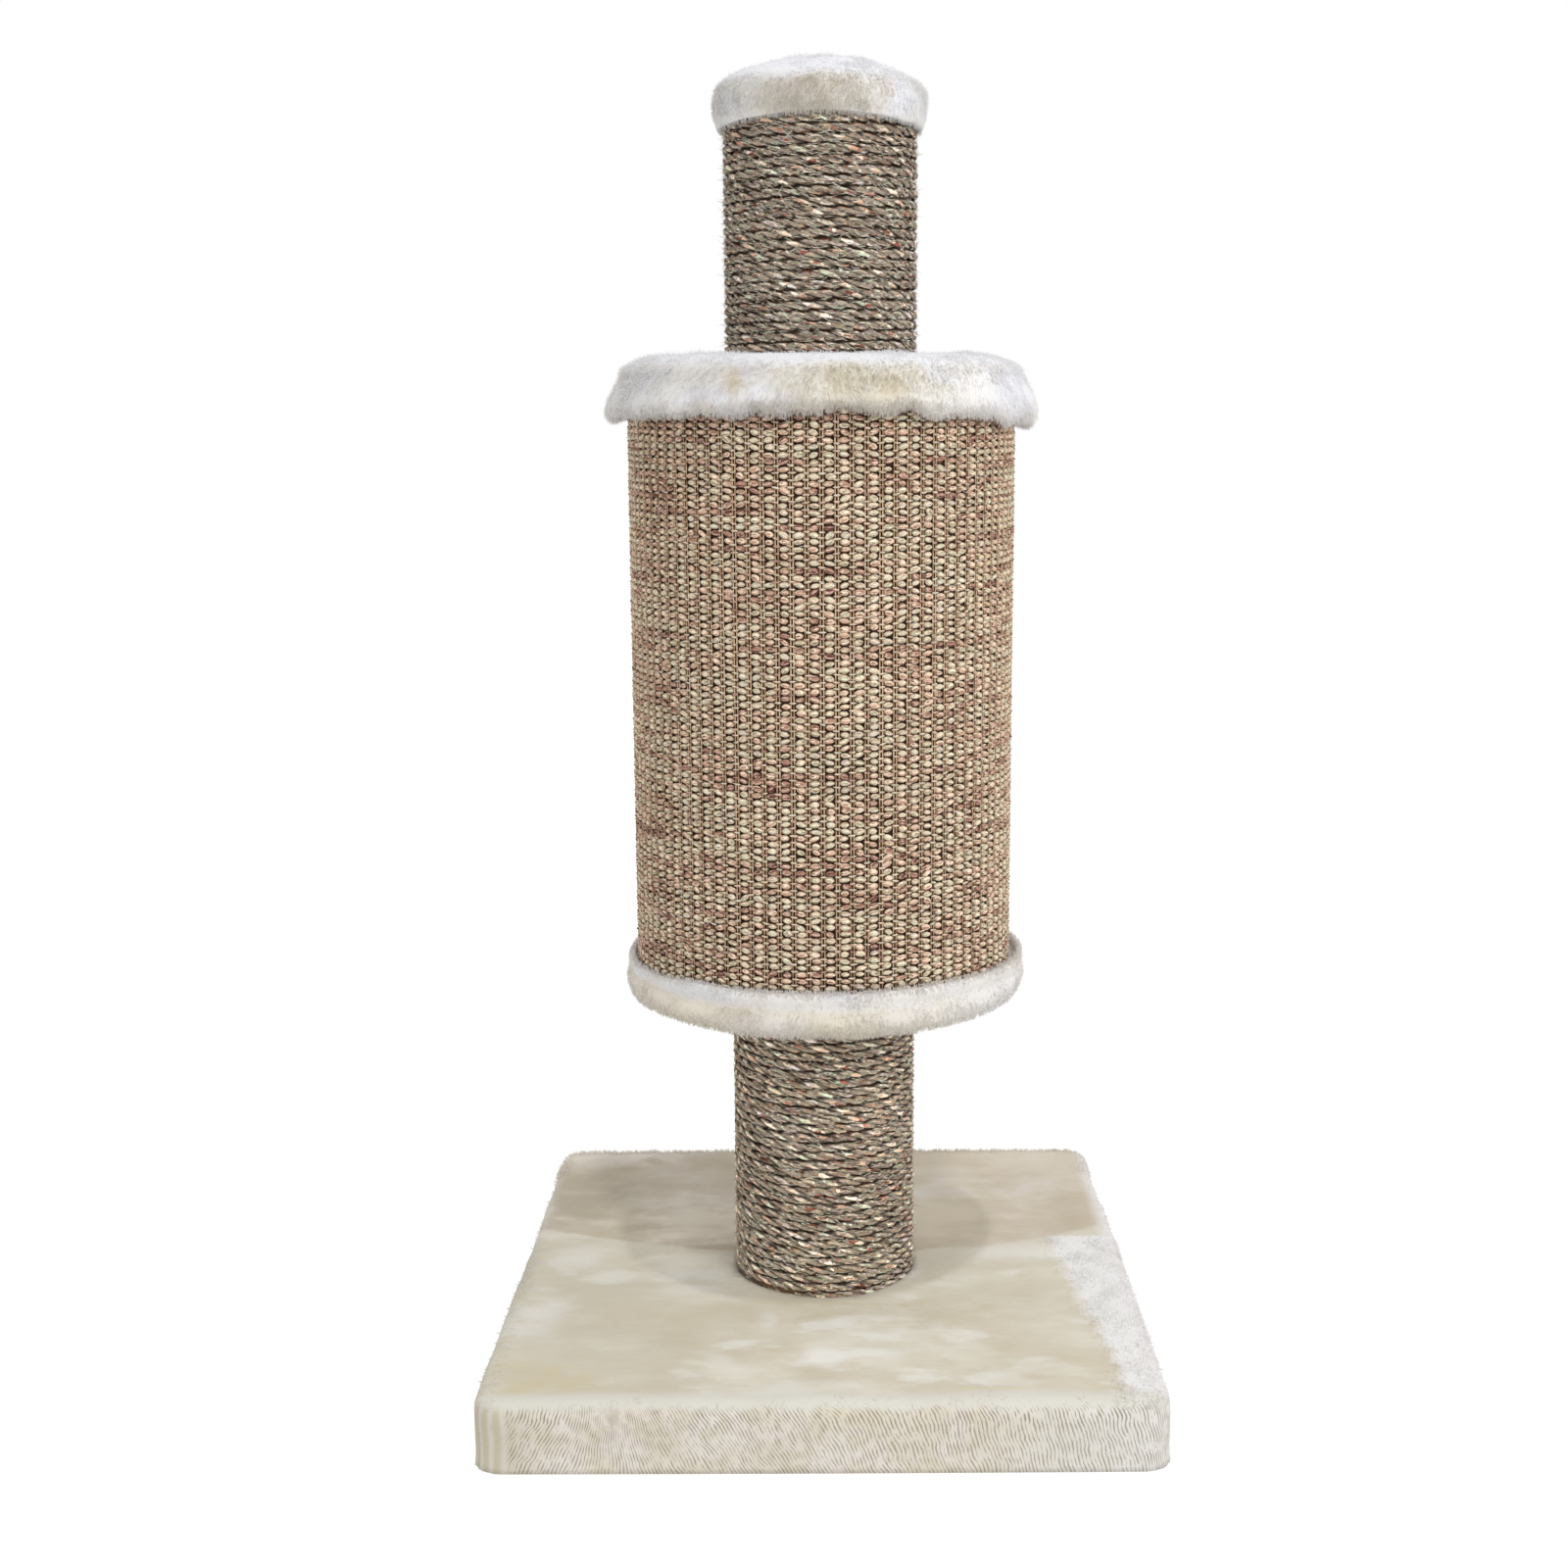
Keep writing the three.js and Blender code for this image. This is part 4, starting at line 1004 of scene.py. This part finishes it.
def patchLine(x, y):  # above 0 in the fluffed patch at the right of the top
    edge = np.minimum(0.184 + (0.045 - y) * 0.13, 0.212)
    return np.minimum((x - edge) / 0.010, (0.050 - y) / 0.006)


baseMarks = [  # soft patches of the top, mostly where the pile was stroked the other way; some are painted light and painted shade about the cast shadow
    ((-0.215, -0.050, 0.056), (0.070, 0.120, 0.03), (196, 189, 171), 0.65),
    ((-0.206, 0.236, 0.056), (0.090, 0.026, 0.03), (236, 228, 217), 0.95),
    # partly the pile's own darker tone and partly painted shade: it carries the cast shadow out to the left edge so
    # that its edge does not show
    ((-0.225, 0.130, 0.056), (0.070, 0.095, 0.03), (178, 168, 149), 0.9),
    ((-0.253, 0.120, 0.056), (0.011, 0.090, 0.03), (214, 208, 198), 0.8),
    # painted light: the next three marks lighten the shadow that the platforms and drum cast on the top, warming it at
    # the right
    ((-0.118, 0.085, 0.056), (0.066, 0.070, 0.03), (228, 219, 203), 0.95),
    ((0.108, 0.085, 0.056), (0.050, 0.064, 0.03), (214, 204, 180), 0.6),
    ((-0.112, -0.006, 0.056), (0.055, 0.028, 0.03), (227, 222, 208), 0.8),
    ((0.205, 0.215, 0.056), (0.070, 0.040, 0.03), (212, 203, 188), 0.6),
    ((-0.203, 0.002, 0.056), (0.036, 0.036, 0.03), (219, 216, 206), 0.7),
    ((-0.163, -0.034, 0.056), (0.056, 0.016, 0.03), (221, 219, 209), 0.65),
    ((-0.100, -0.028, 0.056), (0.034, 0.016, 0.03), (221, 220, 211), 0.6),
    ((-0.232, -0.110, 0.056), (0.036, 0.070, 0.03), (220, 217, 210), 0.75),
    ((-0.180, -0.128, 0.056), (0.050, 0.030, 0.03), (196, 188, 170), 0.8),
    ((-0.252, -0.020, 0.056), (0.016, 0.100, 0.03), (184, 179, 164), 0.85),
    ((0.004, -0.186, 0.056), (0.028, 0.020, 0.03), (230, 229, 223), 0.85),
    ((0.040, -0.176, 0.056), (0.036, 0.010, 0.03), (226, 225, 217), 0.7),
    ((0.105, -0.156, 0.056), (0.036, 0.024, 0.03), (224, 221, 212), 0.75),
    ((-0.044, -0.118, 0.056), (0.010, 0.022, 0.03), (222, 220, 211), 0.6),
    ((-0.085, -0.195, 0.056), (0.022, 0.028, 0.03), (221, 218, 207), 0.65),
    ((-0.036, -0.238, 0.056), (0.060, 0.018, 0.03), (222, 220, 211), 0.65),
    ((-0.120, -0.110, 0.056), (0.080, 0.032, 0.03), (198, 190, 168), 0.6),
    ((0.062, -0.105, 0.056), (0.080, 0.032, 0.03), (192, 183, 160), 0.75),
    ((0.162, -0.200, 0.056), (0.060, 0.060, 0.03), (204, 197, 176), 0.5),
    ((0.120, -0.060, 0.056), (0.060, 0.050, 0.03), (203, 196, 174), 0.5),
    ((-0.214, -0.226, 0.056), (0.052, 0.040, 0.03), (200, 189, 160), 1.0),
]


def combedSides(start, across, depth, height):
    # narrow clumps of pile that lean one way and then the other along the sides of the base
    spot = objectSpot(start)
    lean = between(start, -0.19, -0.12, across) * 1.1 - between(start, -0.04, 0.10, across) * 0.3 - 0.55
    shift = cloud(start, stretched(start, spot, (30, 30, 60)), 1.0, 2.0) * 0.0075
    along = across + depth + height * lean + shift
    waves = start.node("ShaderNodeMath", {"operation": "SINE"}, {0: along * 2150})
    uneven = cloud(start, stretched(start, spot, (190, 190, 120)), 1.0, 2.0)
    return between(start, -1.0, -0.28, waves + (uneven - 0.5) * 3.2)


def baseColour(start):
    spot = objectSpot(start)
    across = start.node("ShaderNodeSeparateXYZ", None, {0: spot}, 0)
    depth, height = (Wire(start.tree, across.socket.node.outputs[k]) for k in (1, 2))
    broad = cloud(start, stretched(start, spot, (7, 9, 7)), 1.0, 3.0)
    drawn = cloud(start, stretched(start, spot, (12, 26, 12)), 1.0, 4.0, roughness=0.6)
    mottled = cloud(start, stretched(start, spot, (13, 20, 13)), 1.0, 5.0, roughness=0.58)
    small = cloud(start, stretched(start, spot, (38, 60, 38)), 1.0, 3.0)
    front = ramp(start, mottled, [(0.34, paint(199, 190, 169)), (0.5, paint(207, 200, 182)), (0.66, paint(217, 212, 198))])
    front = blend(start, front, paint(228, 227, 221), between(start, 0.54, 0.68, drawn) * 0.6)
    front = blend(start, front, paint(193, 186, 167), between(start, -0.03, -0.16, across) * 0.5)
    rear = ramp(start, mottled, [(0.32, paint(190, 178, 158)), (0.5, paint(201, 190, 172)), (0.60, paint(208, 199, 184)),
                                 (0.70, paint(214, 207, 199))])
    line = depth + across * across * -1.13 + (broad - 0.5) * 0.045 + (small - 0.5) * 0.012
    strokedEdgeShade = between(start, 0.050, 0.008, line) * between(start, 0.10, -0.02, across)  # painted shade: the rear is painted darker just behind the stroked edge, as if that edge lay lower
    rear = blend(start, rear, paint(183, 172, 151), strokedEdgeShade * 0.6)
    front = blend(start, front, paint(218, 213, 200), between(start, -0.05, 0.004, line) * 0.5)
    top = blend(start, front, rear, between(start, 0.002, 0.010, line))
    top = tinted(start, top, baseMarks, 30.0, 2.4)
    edge = (0.184 + (0.045 - depth) * 0.13).maths("MINIMUM", 0.184 + (0.045 - depth) * 0.13, 0.212)
    fluffed = between(start, 0.0, 0.014, (across - edge) + (small - 0.5) * 0.022) * between(start, 0.051, 0.045, depth)
    top = blend(start, top, paint(231, 230, 229), fluffed)
    top = blend(start, top, paint(228, 225, 226), between(start, 0.234, 0.250, across) * 0.8)
    top = blend(start, top, paint(207, 205, 196), between(start, -0.236, -0.247, depth) * 0.85)
    side = ramp(start, small, [(0.35, paint(209, 202, 186)), (0.5, paint(217, 210, 199)), (0.62, paint(220, 214, 207)),
                               (0.75, paint(208, 203, 184))])
    side = blend(start, side, paint(208, 201, 176), between(start, 0.5, 0.62, broad) * 0.6)
    side = blend(start, side, paint(218, 216, 213), between(start, 0.06, 0.22, across) * 0.75)
    side = blend(start, side, paint(188, 179, 156), between(start, -0.19, -0.25, across) * 0.7)
    shallow = between(start, 0.046, 0.036, height) * 0.16 + 0.14  # painted shade in the gaps between the combed clumps, darkest just under the rim
    side = blend(start, paint(140, 128, 108), side, shallow + combedSides(start, across, depth, height) * (1 - shallow))
    # painted light and shade: the folds at the front-left corner are striped lighter and darker as their sides face
    # towards or away from the light
    pleats = start.node("ShaderNodeMath", {"operation": "SINE"}, {0: (across - depth) * 520 + broad * 22})
    folded = between(start, -0.4875, -0.4945, across + depth + (broad - 0.5) * 0.01) * between(start, 0.0, -0.1, across)
    side = blend(start, side, ramp(start, pleats * 0.5 + 0.5, [(0.1, paint(192, 184, 162)), (0.5, paint(200, 193, 175)),
                                                                (0.9, paint(207, 202, 190))]), folded)
    return blend(start, side, top, between(start, 0.0475, 0.0535, height + (small - 0.5) * 0.008))


def makeBaseCover():
    clearSelection()
    look = baseLook
    tall = look["top"] - look["low"]
    bpy.ops.mesh.primitive_cube_add(size=1, location=(0, 0, look["low"] + tall / 2))
    shell = bpy.context.active_object
    shell.name = "base_plush"
    shell.scale = (look["half"] * 2, look["half"] * 2, tall)
    bakePlace(shell)

    def bevelEdges(test, width, segments):
        for edge in shell.data.edges:
            ends = [shell.data.vertices[v].co for v in edge.vertices]
            edge.select = test(ends[0], ends[1])
        bpy.ops.object.mode_set(mode="EDIT")
        bpy.ops.mesh.select_mode(type="EDGE")
        bpy.ops.mesh.bevel(offset=width, segments=segments, affect="EDGES")
        bpy.ops.mesh.select_all(action="DESELECT")
        bpy.ops.object.mode_set(mode="OBJECT")

    bpy.ops.object.mode_set(mode="EDIT")
    bpy.ops.mesh.select_mode(type="EDGE")
    bpy.ops.mesh.select_all(action="DESELECT")
    bpy.ops.object.mode_set(mode="OBJECT")
    bevelEdges(lambda a, b: abs(a.z - b.z) > 0.01, look["corner"], 8)
    bevelEdges(lambda a, b: min(a.z, b.z) > look["top"] - 0.0005, look["rounding"], 4)
    bevelEdges(lambda a, b: max(a.z, b.z) < look["low"] + 0.0005, 0.004, 2)
    modify(shell, "REMESH", mode="VOXEL", voxel_size=look["voxel"])
    modify(shell, "SMOOTH", factor=0.5, iterations=3)

    makeActive(shell)  # open the underside inside the hem
    bpy.ops.object.mode_set(mode="EDIT")
    bpy.ops.mesh.select_mode(type="FACE")
    bpy.ops.mesh.select_all(action="DESELECT")
    bpy.ops.object.mode_set(mode="OBJECT")
    inner = look["half"] - look["hem"]
    for face in shell.data.polygons:
        middle = face.center
        face.select = middle.z < 0.004 and max(abs(middle.x), abs(middle.y)) < inner
    bpy.ops.object.mode_set(mode="EDIT")
    bpy.ops.mesh.delete(type="FACE")
    bpy.ops.object.mode_set(mode="OBJECT")

    corners = readCorners(shell.data)
    push = wander(corners, 0.07, 2)[:, 2] * 0.0016 + wander(corners, 0.022, 4)[:, 2] * 0.0005
    onTop = smooth(0.050, 0.055, corners[:, 2])
    corners[:, 2] += push * onTop
    outward = unit(corners * [1, 1, 0])
    bulge = wander(corners, 0.03, 6)[:, :1] * 0.0010
    onSide = (smooth(0.240, 0.250, np.abs(corners[:, :2]).max(1)) * smooth(0.003, 0.010, corners[:, 2]))[:, None]
    corners += outward * bulge * onSide
    pleated = smooth(-0.478, -0.487, corners[:, 0] + corners[:, 1]) * (corners[:, 2] > 0.004) * (corners[:, 0] < 0)
    folds = np.sin((corners[:, 0] - corners[:, 1]) * 450) * 0.0007 * pleated * smooth(0.056, 0.045, corners[:, 2])
    corners += outward * folds[:, None]
    foot = smooth(0.0085, 0.0030, corners[:, 2]) * smooth(0.238, 0.248, np.abs(corners[:, :2]).max(1))
    corners += outward * 0.0026 * foot[:, None]  # the hem stands square on the floor
    corners[:, 2] -= (corners[:, 2] - look["low"]) * 0.8 * foot
    corners[:, 2] += 0.0052 * smooth(0.205, 0.236, corners[:, 1]) * onTop  # the pile stands up at the back
    ahead, behind = smooth(0.10, -0.24, corners[:, 1]), smooth(0.05, 0.25, corners[:, 1])
    left, right = smooth(-0.12, -0.24, corners[:, 0]), smooth(0.12, 0.24, corners[:, 0])
    corners[:, 0] += left * (0.0018 * behind - 0.0052 * ahead) + right * (0.0010 * ahead - 0.0028 * behind)
    corners[:, 1] -= 0.0030 * smooth(-0.20, -0.245, corners[:, 1])
    away = np.hypot(corners[:, 0], corners[:, 1])  # the post presses its seat into the plush
    ring = (np.abs(away - look["seatRadius"]) < 0.0028) & (corners[:, 2] > 0.04)
    corners[ring, :2] *= (look["seatRadius"] / away[ring])[:, None]
    pressed = (away < look["seatRadius"] - 0.0028) & (corners[:, 2] > 0.04)
    corners[pressed, 2] = look["seatHeight"]
    writeCorners(shell.data, corners)
    modify(shell, "SOLIDIFY", thickness=look["cloth"], offset=-1.0)
    makeActive(shell)
    bpy.ops.object.shade_smooth()
    settle(shell, skinShade("base skin", baseColour, (1, 1, 1, 1), (60, 120, 60)), "base_plush", "base_plush_cover")

    def sides(middles, facing):
        reach = np.abs(middles[:, :2]).max(1)
        corner = np.hypot(*(np.maximum(np.abs(middles[:, :2]) - 0.2320, 0)).T) + 0.2320
        edge = smooth(0.2385, 0.2475, np.maximum(corner, reach)) * (1 - 0.8 * smooth(0.3, 0.7, facing[:, 2]))
        outer = (facing * unit(middles * [1, 1, 0])).sum(1) > 0.05
        bare = 1 - 0.85 * smooth(-0.478, -0.487, middles[:, 0] + middles[:, 1])
        return 270000 * edge * bare * ((facing[:, 2] > 0.5) | outer) * (facing[:, 2] > -0.6)

    def sideComb(points, normals):
        flat = unit(normals * [1, 1, 0] + [0, -1e-4, 0])
        tangent = np.column_stack([-flat[:, 1], flat[:, 0], np.zeros(len(flat))])
        swing = 0.75 + 0.2 * wander(points, 0.16, 14)[:, :1] - 1.3 * smooth(-0.11, -0.20, points[:, :1])
        onTop = smooth(0.3, 0.8, normals[:, 2:])
        return (tangent * swing + [0, 0, -0.9]) * (1 - onTop) + unit(points * [1, 1, 0]) * 0.9 * onTop

    settle(growPile("base_side_hair", shell, look["hair"], sides, sideComb, 61), baseHair, "base_plush")

    def patch(middles, facing):
        inside = patchLine(middles[:, 0], middles[:, 1])
        return 620000 * smooth(-0.6, 1.2, inside) * (facing[:, 2] > 0.6) * (middles[:, 2] > 0.05)

    settle(growPile("base_patch_hair", shell, look["patch"], patch,
                    lambda points, normals: np.zeros((len(points), 3)) + [0.3, -0.35, 0.0], 67), baseHair, "base_plush")

    def rim(middles, facing):
        corner = np.hypot(*(np.maximum(np.abs(middles[:, :2]) - 0.2320, 0)).T) + 0.2320
        edge = np.maximum(corner, np.abs(middles[:, :2]).max(1))
        share = smooth(0.190, 0.215, middles[:, 1]) + 0.12 * smooth(0.238, 0.246, np.abs(middles[:, 0]))
        return 520000 * smooth(0.236, 0.244, edge) * np.minimum(share, 1) * (facing[:, 2] > 0.15) * (middles[:, 2] > 0.045)

    settle(growPile("base_rim_hair", shell, look["rim"], rim,
                    lambda points, normals: unit(points * [1, 1, 0]) * 0.25, 71), baseHair, "base_plush")


baseHair = hairShade("base hair", baseColour, (0.93, 0.92, 0.9, 1))
makeBaseCover()
print("the base wears its plush")


# what the covers hide keeps its own shape and gets a plain finish
def woodShade(name, dark, pale, grain, bands):
    material, start, shader = newMaterial(name, Roughness=0.7, Specular_IOR_Level=0.25)
    spot = objectSpot(start)
    lines = cloud(start, stretched(start, spot, grain), 1.0, 4.0)
    colour = ramp(start, lines, [(0.3, dark), (0.7, pale)])
    layers = start.node("ShaderNodeTexWave", {"bands_direction": "Z"},
                        {"Vector": spot, "Scale": bands, "Distortion": 0.4, "Detail": 1.0}, "Fac")
    feed(shader, "Base Color", blend(start, colour, dark, layers * 0.35))
    feed(shader, "Roughness", 0.6 + lines * 0.25)
    addBump(start, shader, lines, 0.0004, 0.5)
    return material


def plainShade(name, dark, pale, size, rough, metal=0.0, bump=0.0003):
    material, start, shader = newMaterial(name, Metallic=metal)
    spots = cloud(start, objectSpot(start), size, 4.0)
    feed(shader, "Base Color", ramp(start, spots, [(0.3, dark), (0.7, pale)]))
    feed(shader, "Roughness", rough + spots * 0.2)
    addBump(start, shader, spots, bump, 0.4)
    return material


hiddenShades = {
    "cardboard": woodShade("wound board", paint(150, 118, 84), paint(190, 158, 118), (40, 40, 160), 90.0),
    "plywood": woodShade("plywood", paint(176, 142, 100), paint(220, 192, 150), (14, 90, 90), 150.0),
    "chipboard": woodShade("chipboard", paint(150, 122, 88), paint(206, 180, 138), (160, 160, 160), 20.0),
    "steel": plainShade("zinc plate", (0.42, 0.43, 0.45, 1), (0.62, 0.63, 0.65, 1), 160.0, 0.25, 1.0),
    "rubber": plainShade("black rubber", (0.018, 0.018, 0.018, 1), (0.04, 0.04, 0.04, 1), 300.0, 0.6),
    "foam": plainShade("open foam", paint(222, 208, 168), paint(240, 230, 198), 900.0, 0.8, bump=0.001),
}
slotOfNode = {part["node"]: part["material_slot"] for part in frame["record"]["subparts"]}
for nodeName, node in frame["nodes"].items():
    if slotOfNode[nodeName] in hiddenShades:
        node.data.materials.clear()
        node.data.materials.append(hiddenShades[slotOfNode[nodeName]])
print("the inner parts have their finishes")

clearSelection()
